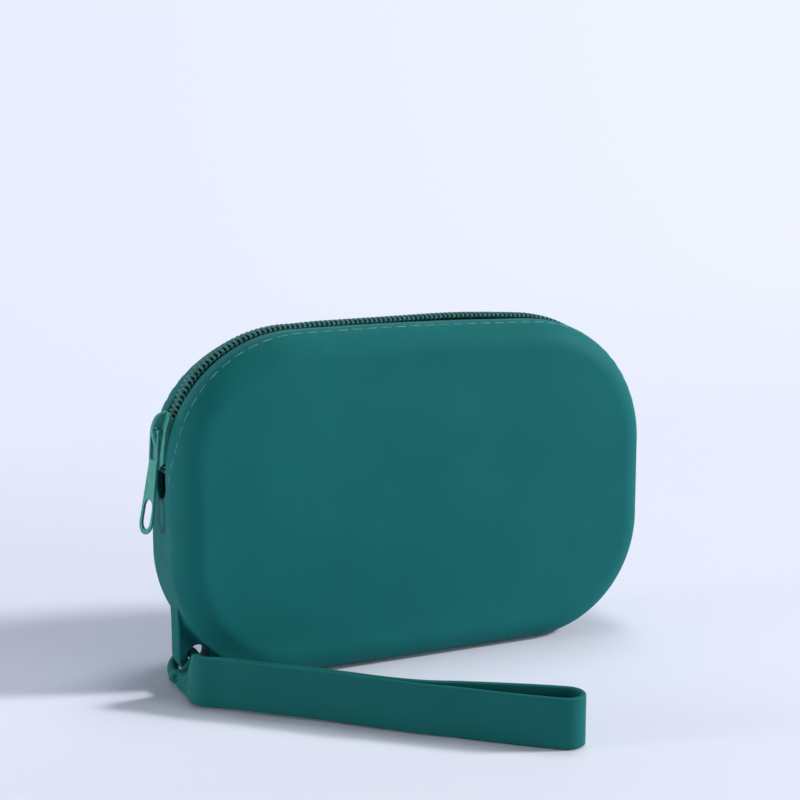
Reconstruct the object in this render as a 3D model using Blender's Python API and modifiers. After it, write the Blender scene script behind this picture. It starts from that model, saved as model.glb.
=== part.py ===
"""Silicone zip pouch with a wrist strap, standing on its long lower edge.

Frame: metres, +X along the pouch's width, -Y towards the front face, +Z up.
The origin is the centre of the flat resting face under the pouch.
"""
import math

import bmesh
import bpy
from mathutils import Matrix, Vector

# Pouch outline, seen from the front
POUCH_WIDTH = 0.1523
POUCH_HEIGHT = 0.100
TOP_CORNER_RADIUS = 0.0388
BOTTOM_CORNER_RADIUS = 0.0365
TOP_EDGE_RADIUS = 1.25
CORNER_STEPS = 12
TOP_STEPS = 6

# Pouch shell
POUCH_DEPTH = 0.0325
FACE_FILLET = 0.0083
FILLET_STEPS = 6
WALL = 0.0022
MOUTH_GAP = 0.0094
SLIT_END_HEIGHT = 0.053
FIT_GAP = 0.0003

# Zip tapes and coils
TAPE_THICKNESS = 0.0006
TAPE_SEAT_GAP = 0.0005
TAPE_INNER_EDGE = 0.0010
TAPE_LIFT = 0.0008
TAPE_CREST_HALF_WIDTH = 0.0039
TAPE_SLOPE_END = 0.0045
TAPE_PAST_SLIT = 0.0049
TAPE_HEM = 0.0011
TAPE_BEND_STEPS = 4
COIL_WIDTH = 0.0024
COIL_HEIGHT = 0.0017
COIL_MESH_GAP = 0.0003
COIL_END_HEIGHT = 0.0565
COIL_SECTION_STEPS = 5

# Sewn seams
STITCH_INSET = 0.0064
STITCH_END_HEIGHT = 0.0556
THREAD_RADIUS = 0.00025

# Slider, drawn at the top of its arc and then turned to where it stands
SLIDER_LENGTH = 0.0150
SLIDER_CROWN_HALF_WIDTH = 0.0043
SLIDER_TAIL_HALF_WIDTH = 0.00345
SLIDER_CROWN_PLATE = 0.0005
SLIDER_TAIL_PLATE = 0.0012
SLIDER_LOWER_PLATE = 0.0010
SLIDER_LOWER_INSET = 0.0011
SLIDER_FLANGE = 0.0006
SLIDER_POST_HALF_WIDTH = 0.0007
SLIDER_POST_START = 0.0062
SLIDER_POST_END = 0.0026
SLIDER_STATION_DEG = 13.9
SLIDER_STEPS = 6

# Bridge over the slider
BRIDGE_WIDTH = 0.0020
BRIDGE_BEAM = 0.0005
BRIDGE_FRONT_REACH = 0.0027
BRIDGE_FRONT_LEG = 0.0012
BRIDGE_TOP_REACH = 0.0053
BRIDGE_TAIL_REACH = 0.0070
PULL_PIVOT_OFFSET = 0.0018
PULL_PIVOT_PLAY = 0.0011
BRIDGE_BAR_GAP = 0.0004

# Pull tab
PULL_BAR_RADIUS = 0.0004
PULL_LENGTH = 0.0292
PULL_TOP_WIDTH = 0.0049
PULL_WAIST_WIDTH = 0.0045
PULL_END_WIDTH = 0.0078
PULL_EYE_WIDTH = 0.0033
PULL_EYE_LENGTH = 0.0079
PULL_HOLE_WIDTH = 0.0056
PULL_HOLE_LENGTH = 0.0083
PULL_HOLE_RIM = 0.0014
PULL_LEAN_DEG = 7.0
PULL_TWIST_DEG = 12.0

# Strap lug, the web that fills the lower left corner
LUG_INSET = 0.00305
LUG_THICKNESS = 0.0074
LUG_HOLE_RADIUS = 0.0030
LUG_HOLE_RIM = 0.0028
LUG_FLOOR_GAP = 0.0014
LUG_EDGE_ROUND = 0.0008

# Wrist strap
STRAP_WIDTH = 0.0133
STRAP_THICKNESS = 0.0015
STRAP_FLOOR_GAP = 0.0002
STRAP_LIFT = 0.0018
STRAP_LAYER_GAP = 0.0006
STRAP_LOOP_RADIUS = 0.00435
STRAP_PARTING = 0.0486
HITCH_RADIUS = 0.0014
HITCH_SLOPE_DEG = 47.0
STRAP_REACH = 0.1060
STRAP_STEPS = 3
LOOP_STEPS = 10
NECK_START_WIDTH = 0.0042
NECK_LENGTH = 0.0095
NECK_OVERLAP = 0.0022
NECK_SINK = 0.7
# Stations along the neck and the scale of its section there; the first two round its end off
NECK_STATIONS = ((-0.21, 0.35), (-0.15, 0.75), (0.0, 1.0), (0.2, 1.0), (0.45, 1.0), (0.7, 1.0), (1.0, 1.0))
# Corners of the neck's section, as shares of its half thickness and half width
NECK_SECTION = ((-1, -0.6), (-0.6, -1), (0.6, -1), (1, -0.6), (1, 0.6), (0.6, 1), (-0.6, 1), (-1, 0.6))
# Shares of the strap's reach over which it comes down to the floor
STRAP_LOWERING = (0.28, 0.92)
# Plan points of the line between the strap's two layers, from the neck to the end loop's centre,
# as shares of the strap's reach from the neck
STRAP_COURSE = (
    (-0.035, -0.070),
    (-0.033, -0.127),
    (0.018, -0.168),
    (0.097, -0.249),
    (0.177, -0.319),
    (0.253, -0.392),
    (0.320, -0.458),
    (0.399, -0.528),
    (0.479, -0.583),
    (0.575, -0.655),
    (0.678, -0.735),
)

# Finish: colour, roughness and metallic value of each material
SILICONE = ("green_silicone", (0.011, 0.119, 0.130), 0.55, 0.0)
STRAP_SILICONE = ("strap_silicone", (0.010, 0.084, 0.091), 0.55, 0.0)
TAPE_CLOTH = ("dark_green_tape", (0.006, 0.040, 0.042), 0.85, 0.0)
COIL_NYLON = ("green_nylon_coil", (0.012, 0.110, 0.105), 0.40, 0.0)
THREAD = ("green_thread", (0.022, 0.160, 0.160), 0.70, 0.0)
PAINTED_METAL = ("painted_slider_metal", (0.020, 0.150, 0.140), 0.38, 0.15)


def clear_scene():
    for item in list(bpy.data.objects):
        bpy.data.objects.remove(item, do_unlink=True)


def new_collection(name):
    collection = bpy.data.collections.new(name)
    bpy.context.scene.collection.children.link(collection)
    return collection


def make_material(finish):
    name, colour, roughness, metallic = finish
    material = bpy.data.materials.get(name) or bpy.data.materials.new(name)
    material.use_nodes = True
    shader = material.node_tree.nodes["Principled BSDF"]
    shader.inputs["Base Color"].default_value = (*colour, 1.0)
    shader.inputs["Roughness"].default_value = roughness
    shader.inputs["Metallic"].default_value = metallic
    material.diffuse_color = (*colour, 1.0)
    return material


# Outline geometry

def arc(centre, radius, start_deg, end_deg, steps):
    points = []
    for step in range(steps + 1):
        angle = math.radians(start_deg + (end_deg - start_deg) * step / steps)
        points.append((centre[0] + radius * math.cos(angle), centre[1] + radius * math.sin(angle)))
    return points


def top_corner():
    """Offset from the middle, height, and the turn at which a top corner meets the top edge."""
    offset = POUCH_WIDTH / 2 - TOP_CORNER_RADIUS
    reach = TOP_EDGE_RADIUS - TOP_CORNER_RADIUS
    tilt = math.asin(offset / reach)
    height = POUCH_HEIGHT - TOP_EDGE_RADIUS + reach * math.cos(tilt)
    return offset, height, math.degrees(tilt)


def upper_path(depth):
    """Left side's top, over the top edge, to the right side's top, at a depth inside the outline."""
    offset, height, tilt = top_corner()
    radius = TOP_CORNER_RADIUS - depth
    top_centre = (0.0, POUCH_HEIGHT - TOP_EDGE_RADIUS)
    left = arc((-offset, height), radius, 180, 90 + tilt, CORNER_STEPS)
    middle = arc(top_centre, TOP_EDGE_RADIUS - depth, 90 + tilt, 90 - tilt, TOP_STEPS)
    right = arc((offset, height), radius, 90 - tilt, 0, CORNER_STEPS)
    return left + middle[1:-1] + right


def pouch_outline(depth):
    offset = POUCH_WIDTH / 2 - BOTTOM_CORNER_RADIUS
    radius = BOTTOM_CORNER_RADIUS - depth
    right = arc((offset, BOTTOM_CORNER_RADIUS), radius, 0, -90, CORNER_STEPS)
    left = arc((-offset, BOTTOM_CORNER_RADIUS), radius, -90, -180, CORNER_STEPS)
    return upper_path(depth) + right + left


def zip_path(depth, end_height):
    """Stations (x, z) round the mouth, with both ends carried down the straight sides."""
    side = POUCH_WIDTH / 2 - depth
    top = top_corner()[1]
    straight = [(side, end_height + (top - end_height) * step / 2) for step in range(2)]
    start = [(-x, z) for x, z in straight]
    return start + upper_path(depth) + straight[::-1]


def mouth_hinge():
    """A point on the line in the flat base about which the front half tips forwards."""
    return Vector((0.0, FACE_FILLET - POUCH_DEPTH / 2, 0.0))


def smooth_step(value):
    value = min(max(value, 0.0), 1.0)
    return value * value * (3 - 2 * value)


# Modelling helpers

def mesh_object(name, mesh, collection, finish=None):
    item = bpy.data.objects.new(name, mesh)
    collection.objects.link(item)
    if finish:
        item.data.materials.append(make_material(finish))
    return item


def as_cutter(item):
    item.hide_render = True
    item.display_type = "WIRE"
    return item


def clean_mesh(mesh):
    work = bmesh.new()
    work.from_mesh(mesh)
    bmesh.ops.remove_doubles(work, verts=work.verts, dist=1e-6)
    bmesh.ops.dissolve_limit(work, angle_limit=math.radians(0.2), verts=work.verts, edges=work.edges)
    bmesh.ops.recalc_face_normals(work, faces=work.faces)
    work.to_mesh(mesh)
    work.free()


def curve_to_mesh(name, curve):
    """The mesh of a curve, with its caps welded on."""
    holder = bpy.data.objects.new(name + "_curve", curve)
    bpy.context.scene.collection.objects.link(holder)
    bpy.context.view_layer.update()
    evaluated = holder.evaluated_get(bpy.context.evaluated_depsgraph_get())
    mesh = bpy.data.meshes.new_from_object(evaluated)
    mesh.name = name
    bpy.data.objects.remove(holder, do_unlink=True)
    clean_mesh(mesh)
    return mesh


def add_spline(curve, points, cyclic):
    spline = curve.splines.new("POLY")
    spline.points.add(len(points) - 1)
    for target, point in zip(spline.points, points):
        target.co = (*point, 1.0)
    spline.use_cyclic_u = cyclic


def flat_solid(name, outlines, thickness, collection, finish=None, upright=True):
    """Flat outlines given a thickness; upright ones stand in the XZ plane, others lie in XY."""
    curve = bpy.data.curves.new(name, "CURVE")
    curve.dimensions = "2D"
    curve.fill_mode = "BOTH"
    curve.extrude = thickness / 2
    for outline in outlines:
        add_spline(curve, [(x, z, 0.0) for x, z in outline], True)
    mesh = curve_to_mesh(name, curve)
    if upright:
        mesh.transform(Matrix.Rotation(math.radians(90), 4, "X"))
    return mesh_object(name, mesh, collection, finish)


def box_solid(name, low, high, collection, finish=None):
    low, high = Vector(low), Vector(high)
    work = bmesh.new()
    size = high - low
    place = Matrix.Translation((low + high) / 2) @ Matrix.Diagonal((*size, 1.0))
    bmesh.ops.create_cube(work, size=1.0, matrix=place)
    mesh = bpy.data.meshes.new(name)
    work.to_mesh(mesh)
    work.free()
    return mesh_object(name, mesh, collection, finish)


def tube(name, points, radius, collection, finish, cyclic=False, resolution=1):
    curve = bpy.data.curves.new(name, "CURVE")
    curve.dimensions = "3D"
    curve.bevel_depth = radius
    curve.bevel_resolution = resolution
    curve.use_fill_caps = True
    add_spline(curve, points, cyclic)
    return mesh_object(name, curve_to_mesh(name, curve), collection, finish)


def loft(name, sections, collection, finish):
    """A closed solid through sections of equal point counts."""
    work = bmesh.new()
    rings = [[work.verts.new(point) for point in section] for section in sections]
    count = len(rings[0])
    for near, far in zip(rings[:-1], rings[1:]):
        for index in range(count):
            after = (index + 1) % count
            work.faces.new((near[index], near[after], far[after], far[index]))
    work.faces.new(rings[0])
    work.faces.new(rings[-1])
    bmesh.ops.recalc_face_normals(work, faces=work.faces)
    mesh = bpy.data.meshes.new(name)
    work.to_mesh(mesh)
    work.free()
    return mesh_object(name, mesh, collection, finish)


def add_bevel(item, width, segments, angle_deg=45):
    bevel = item.modifiers.new("Bevel", "BEVEL")
    bevel.width = width
    bevel.segments = segments
    bevel.limit_method = "ANGLE"
    bevel.angle_limit = math.radians(angle_deg)


def add_boolean(item, other, operation):
    boolean = item.modifiers.new(operation.title(), "BOOLEAN")
    boolean.operation = operation
    boolean.object = other
    as_cutter(other)


def add_solidify(item, thickness, offset):
    solidify = item.modifiers.new("Solidify", "SOLIDIFY")
    solidify.thickness = thickness
    solidify.offset = offset
    solidify.use_even_offset = True


def shade_round(item):
    item.data.shade_smooth()
    item.data.set_sharp_from_angle(angle=math.radians(35))


def move_origin(item, point):
    """Puts an object's origin at a point and leaves its shape where it is."""
    item.data.transform(Matrix.Translation(-Vector(point)))
    item.location = point


# Pouch body

def rounded_block(name, depth, collection, finish=None):
    """The pouch's outer form, or the same form a depth inside it."""
    thickness = POUCH_DEPTH - 2 * depth
    block = flat_solid(name, [pouch_outline(depth)], thickness, collection, finish)
    add_bevel(block, FACE_FILLET - depth, FILLET_STEPS)
    return block


def half_shell(name, is_front, parts, cutters):
    shell = rounded_block(name, 0.0, parts, SILICONE)
    cavity = rounded_block(name + "_cavity", WALL, cutters)
    add_boolean(shell, cavity, "DIFFERENCE")
    reach = POUCH_WIDTH
    lip = MOUTH_GAP / 2
    if is_front:
        rest = box_solid(name + "_rest", (-reach, -lip - FIT_GAP, -reach), (reach, reach, reach), cutters)
        add_boolean(shell, rest, "DIFFERENCE")
    else:
        rest = box_solid(name + "_rest", (-reach, -reach, -reach), (reach, -lip, reach), cutters)
        slit_low = (-reach, -reach, SLIT_END_HEIGHT)
        slit = box_solid(name + "_slit", slit_low, (reach, lip, reach), cutters)
        add_boolean(shell, rest, "DIFFERENCE")
        add_boolean(shell, slit, "DIFFERENCE")
    shade_round(shell)
    return shell


def lug_outer_x():
    return LUG_INSET - POUCH_WIDTH / 2


def lug_hole_centre():
    reach = LUG_HOLE_RADIUS + LUG_HOLE_RIM
    return lug_outer_x() + reach, LUG_FLOOR_GAP + reach


def strap_lug(parts, cutters):
    hole_x, hole_z = lug_hole_centre()
    corner = arc((hole_x, hole_z), LUG_HOLE_RADIUS + LUG_HOLE_RIM, 180, 270, 8)
    inner_x = -POUCH_WIDTH / 2 + BOTTOM_CORNER_RADIUS
    outline = [(lug_outer_x(), BOTTOM_CORNER_RADIUS)] + corner
    outline += [(inner_x, LUG_FLOOR_GAP), (inner_x, BOTTOM_CORNER_RADIUS)]
    lug = flat_solid("strap_lug", [outline], LUG_THICKNESS, parts, SILICONE)
    add_bevel(lug, LUG_EDGE_ROUND, 2)
    body = flat_solid("lug_body_cut", [pouch_outline(-FIT_GAP)], POUCH_DEPTH, cutters)
    add_boolean(lug, body, "DIFFERENCE")
    circle = arc((hole_x, hole_z), LUG_HOLE_RADIUS, 0, 337.5, 15)
    hole = flat_solid("lug_hole_cut", [circle], POUCH_DEPTH, cutters)
    add_boolean(lug, hole, "DIFFERENCE")
    shade_round(lug)
    return lug


# Zip

def tape_depth():
    return WALL + TAPE_SEAT_GAP


def crest_depth():
    """Depth of the tape's middle part, which arches up through the slit."""
    return tape_depth() - TAPE_LIFT


def coil_base_depth():
    return crest_depth() - FIT_GAP


def coil_top_depth():
    return coil_base_depth() - COIL_HEIGHT


def fillet_place(radius, turn):
    """Distance across and depth of a point on an arc that shares its centre with the face's fillet."""
    across = POUCH_DEPTH / 2 - FACE_FILLET + radius * math.sin(turn)
    return across, FACE_FILLET - radius * math.cos(turn)


def seam_turn():
    """Turn round the face's fillet at which the needle goes through."""
    past = MOUTH_GAP / 2 + STITCH_INSET - (POUCH_DEPTH / 2 - FACE_FILLET)
    return math.asin(past / FACE_FILLET)


def tape_section():
    """Distance across, depth and lift of the tape's points: crest, slope and the bend in the fillet."""
    radius = FACE_FILLET - tape_depth()
    end = seam_turn() + TAPE_HEM / radius
    section = [(across, tape_depth(), TAPE_LIFT) for across in (TAPE_INNER_EDGE, TAPE_CREST_HALF_WIDTH)]
    section.append((TAPE_SLOPE_END, tape_depth(), 0.0))
    for step in range(TAPE_BEND_STEPS + 1):
        section.append((*fillet_place(radius, end * step / TAPE_BEND_STEPS), 0.0))
    return section


def tape_path(depth, lift):
    """Stations (x, z) of one column of the tape; its crest sinks before it goes under the slit's end."""
    side = POUCH_WIDTH / 2 - depth
    low = SLIT_END_HEIGHT - FIT_GAP - TAPE_PAST_SLIT
    rise = [(side, low), (side, SLIT_END_HEIGHT + FIT_GAP), (side + lift, COIL_END_HEIGHT)]
    return [(-x, z) for x, z in rise] + upper_path(depth - lift) + rise[::-1]


def zip_tape(name, side, parts):
    """A woven strip, sewn under the lip and reaching nearly to the middle plane."""
    work = bmesh.new()
    columns = []
    for across, depth, lift in tape_section():
        path = tape_path(depth, lift)
        columns.append([work.verts.new((x, side * across, z)) for x, z in path])
    for near, far in zip(columns[:-1], columns[1:]):
        for index in range(len(near) - 1):
            work.faces.new((near[index], far[index], far[index + 1], near[index + 1]))
    bmesh.ops.recalc_face_normals(work, faces=work.faces)
    if work.faces[:][0].normal.x > 0:
        bmesh.ops.reverse_faces(work, faces=work.faces)
    mesh = bpy.data.meshes.new(name)
    work.to_mesh(mesh)
    work.free()
    tape = mesh_object(name, mesh, parts, TAPE_CLOTH)
    add_solidify(tape, TAPE_THICKNESS, -1.0)
    return tape


def slider_travel_length(x, z):
    """Length along the corner arc from the slider's middle towards the coil's closed end."""
    offset, height, _ = top_corner()
    radius = TOP_CORNER_RADIUS
    rest = math.radians(SLIDER_STATION_DEG)
    if x > 0:
        return radius
    if z <= height:
        return -(height - z) - radius * rest
    return radius * (math.atan2(z - height, -offset - x) - rest)


def coil_spread(along):
    """Distance of a coil's inner edge from the middle plane, opened out by the slider's post."""
    closed = COIL_MESH_GAP / 2
    opened = SLIDER_POST_HALF_WIDTH + FIT_GAP
    lead = SLIDER_POST_END - 2 * SLIDER_POST_HALF_WIDTH
    return closed + (opened - closed) * smooth_step((-along - lead) / SLIDER_POST_END)


def zip_coil(name, side, parts):
    """The coil as one bead of stadium section, laid on the tape's edge."""
    outer_path = zip_path(0.0, COIL_END_HEIGHT)
    base_path = zip_path(coil_base_depth(), COIL_END_HEIGHT)
    top_path = zip_path(coil_top_depth(), COIL_END_HEIGHT)
    radius = COIL_HEIGHT / 2
    sections = []
    for outer, base, top in zip(outer_path, base_path, top_path):
        inner_edge = coil_spread(slider_travel_length(*outer))
        near = arc((inner_edge + radius, 0.5), radius, 270, 90, COIL_SECTION_STEPS)
        far = arc((inner_edge + COIL_WIDTH - radius, 0.5), radius, 90, -90, COIL_SECTION_STEPS)
        section = []
        for across, level in near + far:
            share = 0.5 + (level - 0.5) / COIL_HEIGHT
            x = base[0] + (top[0] - base[0]) * share
            z = base[1] + (top[1] - base[1]) * share
            section.append((x, side * across, z))
        sections.append(section)
    coil = loft(name, sections, parts, COIL_NYLON)
    shade_round(coil)
    return coil


def seam_thread(name, side, radius, parts):
    across, depth = fillet_place(radius, seam_turn())
    points = [(x, side * across, z) for x, z in zip_path(depth, STITCH_END_HEIGHT)]
    thread = tube(name, points, THREAD_RADIUS, parts, THREAD)
    shade_round(thread)
    return thread


def seam_threads(side_name, side, parts):
    lift = FIT_GAP + THREAD_RADIUS
    outside = FACE_FILLET + lift
    inside = FACE_FILLET - tape_depth() - TAPE_THICKNESS - lift
    seam_thread(side_name + "_needle_thread", side, outside, parts)
    seam_thread(side_name + "_bobbin_thread", side, inside, parts)


# Slider, in a frame whose origin is the corner's centre and whose +Z points out of the pouch

def slider_half_width(x):
    share = smooth_step((x + SLIDER_LENGTH / 4) / (SLIDER_LENGTH / 2))
    return SLIDER_CROWN_HALF_WIDTH + (SLIDER_TAIL_HALF_WIDTH - SLIDER_CROWN_HALF_WIDTH) * share


def plate_levels():
    """Depths of the slider's outer plate, flange and inner plate inside the pouch's outline."""
    plate_low = coil_top_depth() - FIT_GAP
    flange_low = crest_depth() - FIT_GAP
    inner_high = crest_depth() + TAPE_THICKNESS + FIT_GAP
    return plate_low, flange_low, inner_high


def plate_top(along):
    """Height of the outer plate's top over the pouch's outline; the plate thickens towards its tail."""
    share = along / SLIDER_LENGTH + 0.5
    thickness = SLIDER_CROWN_PLATE + (SLIDER_TAIL_PLATE - SLIDER_CROWN_PLATE) * share
    return thickness - plate_levels()[0]


def slider_sweep(name, section_at, collection, finish=None):
    """A solid as long as the slider, bent to the corner's arc, from (y, radius) sections."""
    sections = []
    for step in range(SLIDER_STEPS + 1):
        along = SLIDER_LENGTH * (step / SLIDER_STEPS - 0.5)
        turn = along / TOP_CORNER_RADIUS
        sections.append([(r * math.sin(turn), y, r * math.cos(turn)) for y, r in section_at(along)])
    return loft(name, sections, collection, finish)


def outer_plate_section(along):
    """The outer plate with a flange turned down at each side."""
    plate_low, flange_low, _ = plate_levels()
    edge = slider_half_width(along)
    under = TOP_CORNER_RADIUS - plate_low
    top = TOP_CORNER_RADIUS + plate_top(along)
    low = TOP_CORNER_RADIUS - flange_low
    inner = edge - SLIDER_FLANGE
    right = [(edge, top), (edge, low), (inner, low), (inner, under)]
    return right + [(-y, radius) for y, radius in reversed(right)]


def inner_plate_section(along):
    edge = slider_half_width(along) - SLIDER_LOWER_INSET
    top = TOP_CORNER_RADIUS - plate_levels()[2]
    low = top - SLIDER_LOWER_PLATE
    return [(edge, top), (edge, low), (-edge, low), (-edge, top)]


def over_arc(along, height):
    """Point (x, z) at a length along the slider and a height over the pouch's outline."""
    turn = along / TOP_CORNER_RADIUS
    radius = TOP_CORNER_RADIUS + height
    return radius * math.sin(turn), radius * math.cos(turn)


def pull_bar_height():
    return plate_top(PULL_PIVOT_OFFSET) + PULL_BAR_RADIUS + PULL_PIVOT_PLAY


def slider_bridge(cutters):
    """Hood that rises from its front leg to hold the pull tab's bar and runs down to the slider's tail."""
    sink = SLIDER_CROWN_PLATE / 2
    clear = PULL_BAR_RADIUS + BRIDGE_BAR_GAP
    window_top = pull_bar_height() + clear
    high = window_top + BRIDGE_BEAM
    front, rear = -BRIDGE_FRONT_REACH, BRIDGE_TAIL_REACH
    front_floor, rear_floor = plate_top(front), plate_top(rear)
    inner_front = front + BRIDGE_FRONT_LEG
    inner_rear = BRIDGE_TOP_REACH - clear
    outer = [(front, front_floor - sink), (front, front_floor + sink)]
    outer += [(PULL_PIVOT_OFFSET - BRIDGE_BEAM, high), (BRIDGE_TOP_REACH, high)]
    outer += [(rear, rear_floor), (rear, rear_floor - sink)]
    window = [(inner_front, plate_top(inner_front)), (PULL_PIVOT_OFFSET - BRIDGE_BEAM / 2, window_top)]
    window += [(inner_rear, window_top), (inner_rear + clear, plate_top(inner_rear + clear))]
    outlines = [[over_arc(*point) for point in outline] for outline in (outer, window)]
    return flat_solid("slider_bridge_form", outlines, BRIDGE_WIDTH, cutters)


def slider_post(cutters):
    plate_low, _, inner_high = plate_levels()
    high = TOP_CORNER_RADIUS - plate_low + SLIDER_CROWN_PLATE / 2
    low = TOP_CORNER_RADIUS - inner_high - SLIDER_LOWER_PLATE / 2
    wide = SLIDER_POST_HALF_WIDTH
    start = (-SLIDER_POST_START, -wide, low)
    post = box_solid("slider_post_form", start, (-SLIDER_POST_END, wide, high), cutters)
    for vertex in post.data.vertices:
        if vertex.co.x > -(SLIDER_POST_START + SLIDER_POST_END) / 2:
            vertex.co.y *= 0.4
    return post


def slider_body(parts, cutters):
    body = slider_sweep("slider_body", outer_plate_section, parts, PAINTED_METAL)
    inner = slider_sweep("slider_inner_plate_form", inner_plate_section, cutters)
    add_boolean(body, slider_post(cutters), "UNION")
    add_boolean(body, inner, "UNION")
    add_boolean(body, slider_bridge(cutters), "UNION")
    return body


def slider_turn():
    return Matrix.Rotation(math.radians(SLIDER_STATION_DEG - 90), 4, "Y")


def slider_axis_point():
    offset, height, _ = top_corner()
    return Vector((-offset, 0.0, height))


def pull_pivot():
    x, z = over_arc(PULL_PIVOT_OFFSET, pull_bar_height())
    return slider_axis_point() + slider_turn() @ Vector((x, 0.0, z))


def place_slider(body, cutters):
    """Turns the slider and the forms joined to it to the slider's place on its arc."""
    place = Matrix.Translation(slider_axis_point()) @ slider_turn()
    body.matrix_world = place
    for item in cutters.objects:
        if item.name.startswith("slider_"):
            item.matrix_world = place


def slot_outline(centre_z, width, length, steps=6):
    """Round-ended slot along Z, as (y, z) points."""
    radius = width / 2
    reach = length / 2 - radius
    top = arc((0.0, centre_z + reach), radius, 0, 180, steps)
    bottom = arc((0.0, centre_z - reach), radius, 180, 360, steps)
    return top + bottom


def pull_tab(parts):
    """Flat tab hanging from its bar; drawn as a (y, z) outline with its origin on the bar."""
    top = PULL_BAR_RADIUS
    tip_radius = PULL_END_WIDTH / 2
    tip_centre = -(PULL_LENGTH - tip_radius)
    shoulder = -(PULL_BAR_RADIUS + PULL_EYE_LENGTH)
    half_top = PULL_TOP_WIDTH / 2
    half_waist = PULL_WAIST_WIDTH / 2
    waist = shoulder - (half_top - half_waist) * 2
    tip = arc((0.0, tip_centre), tip_radius, 180, 360, 12)
    outline = [(-half_top, top), (-half_top, shoulder), (-half_waist, waist)] + tip
    outline += [(half_waist, waist), (half_top, shoulder), (half_top, top)]
    half_eye = PULL_EYE_WIDTH / 2
    eye_top = -PULL_BAR_RADIUS
    eye_low = eye_top - PULL_EYE_LENGTH
    eye = [(-half_eye, eye_top), (half_eye, eye_top), (half_eye, eye_low), (-half_eye, eye_low)]
    hole_centre = -(PULL_LENGTH - PULL_HOLE_RIM - PULL_HOLE_LENGTH / 2)
    hole = slot_outline(hole_centre, PULL_HOLE_WIDTH, PULL_HOLE_LENGTH)
    thickness = 2 * PULL_BAR_RADIUS
    tab = flat_solid("pull_tab", [outline, eye, hole], thickness, parts, PAINTED_METAL)
    tab.data.transform(Matrix.Rotation(math.radians(90), 4, "Z"))
    lean = Matrix.Rotation(math.radians(PULL_LEAN_DEG), 4, "Y")
    twist = Matrix.Rotation(math.radians(PULL_TWIST_DEG), 4, "Z")
    tab.matrix_world = Matrix.Translation(pull_pivot()) @ lean @ twist
    return tab


# Wrist strap

def hitch_course():
    """Course of the gathered strap through the lug's hole and round the lug's rim."""
    hole_x, hole_z = lug_hole_centre()
    slope = math.radians(HITCH_SLOPE_DEG)
    outward = Vector((-math.cos(slope), 0.0, -math.sin(slope)))
    hole = Vector((hole_x, 0.0, hole_z))
    span = LUG_HOLE_RADIUS + LUG_HOLE_RIM + FIT_GAP + HITCH_RADIUS
    half = LUG_THICKNESS / 2
    front = arc((span / 2, -half), span / 2, 180, 360, 8)
    back = arc((span / 2, half), span / 2, 0, 180, 8)
    return [hole + outward * along + Vector((0.0, across, 0.0)) for along, across in front + back]


def neck_point():
    """Middle of the neck's round end, just clear of the hitch; the strap swings about it."""
    course = hitch_course()
    front = min(course, key=lambda point: point.y)
    clear = HITCH_RADIUS + FIT_GAP + NECK_START_WIDTH / 2
    return Vector((front.x, front.y - clear, front.z))


def strap_hitch(parts):
    hitch = tube("strap_hitch", hitch_course(), HITCH_RADIUS, parts, STRAP_SILICONE, True, 2)
    shade_round(hitch)
    return hitch


def smooth_course(points, steps):
    """Catmull-Rom curve through plan points, with its ends held."""
    held = [points[0]] + list(points) + [points[-1]]
    course = []
    for index in range(1, len(held) - 2):
        before, start, end, after = (Vector(held[index + shift]) for shift in (-1, 0, 1, 2))
        for step in range(steps):
            t = step / steps
            bend = (2 * before - 5 * start + 4 * end - after) * t * t
            bend += (3 * start - 3 * end + after - before) * t ** 3
            course.append((2 * start + (end - before) * t + bend) / 2)
    course.append(Vector(held[-2]))
    return course


def strap_line():
    """Plan curve between the two layers, from the hitch to the end loop's centre."""
    neck = neck_point().xy
    course = [neck + Vector(share) * STRAP_REACH for share in STRAP_COURSE]
    return smooth_course([neck] + course, STRAP_STEPS)


def strap_plan():
    """Middle line of the whole band in plan: out along one layer, round the loop and back."""
    line = strap_line()
    neck, centre = line[0], line[-1]
    closed = (STRAP_THICKNESS + STRAP_LAYER_GAP) / 2
    front = []
    back = []
    for behind, point, ahead in zip(line[:-2], line[1:-1], line[2:]):
        if (point - neck).length < NECK_LENGTH - NECK_OVERLAP:
            continue
        along = (ahead - behind).normalized()
        parted = smooth_step(1 - (centre - point).length / STRAP_PARTING)
        reach = Vector((-along.y, along.x)) * (closed + (STRAP_LOOP_RADIUS - closed) * parted)
        front.append(point - reach)
        back.append(point + reach)
    along = centre - line[-2]
    heading = math.degrees(math.atan2(along.y, along.x))
    turn = arc(centre, STRAP_LOOP_RADIUS, heading - 90, heading + 90, LOOP_STEPS)
    return front + [Vector(point) for point in turn] + back[::-1]


def strap_middle_height(point):
    """Height of the band's middle line; the hitch holds the near end of the band off the floor."""
    start, end = STRAP_LOWERING
    share = (point - neck_point().xy).length / STRAP_REACH
    lift = STRAP_LIFT * (1 - smooth_step((share - start) / (end - start)))
    return STRAP_FLOOR_GAP + STRAP_WIDTH / 2 + lift


def wrist_strap(parts, cutters):
    """A flat band standing on its edge, gathered into a narrow neck where it meets the hitch."""
    neck = neck_point()
    curve = bpy.data.curves.new("wrist_strap", "CURVE")
    curve.dimensions = "2D"
    curve.extrude = STRAP_WIDTH / 2
    add_spline(curve, [(point.x, point.y, 0.0) for point in strap_plan()], False)
    strap = mesh_object("wrist_strap", curve_to_mesh("wrist_strap", curve), parts, STRAP_SILICONE)
    for vertex in strap.data.vertices:
        vertex.co.z += strap_middle_height(vertex.co.xy)
    move_origin(strap, (neck.x, neck.y, 0.0))
    add_solidify(strap, STRAP_THICKNESS, 0.0)
    add_boolean(strap, strap_neck(cutters), "UNION")
    shade_round(strap)
    return strap


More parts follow.
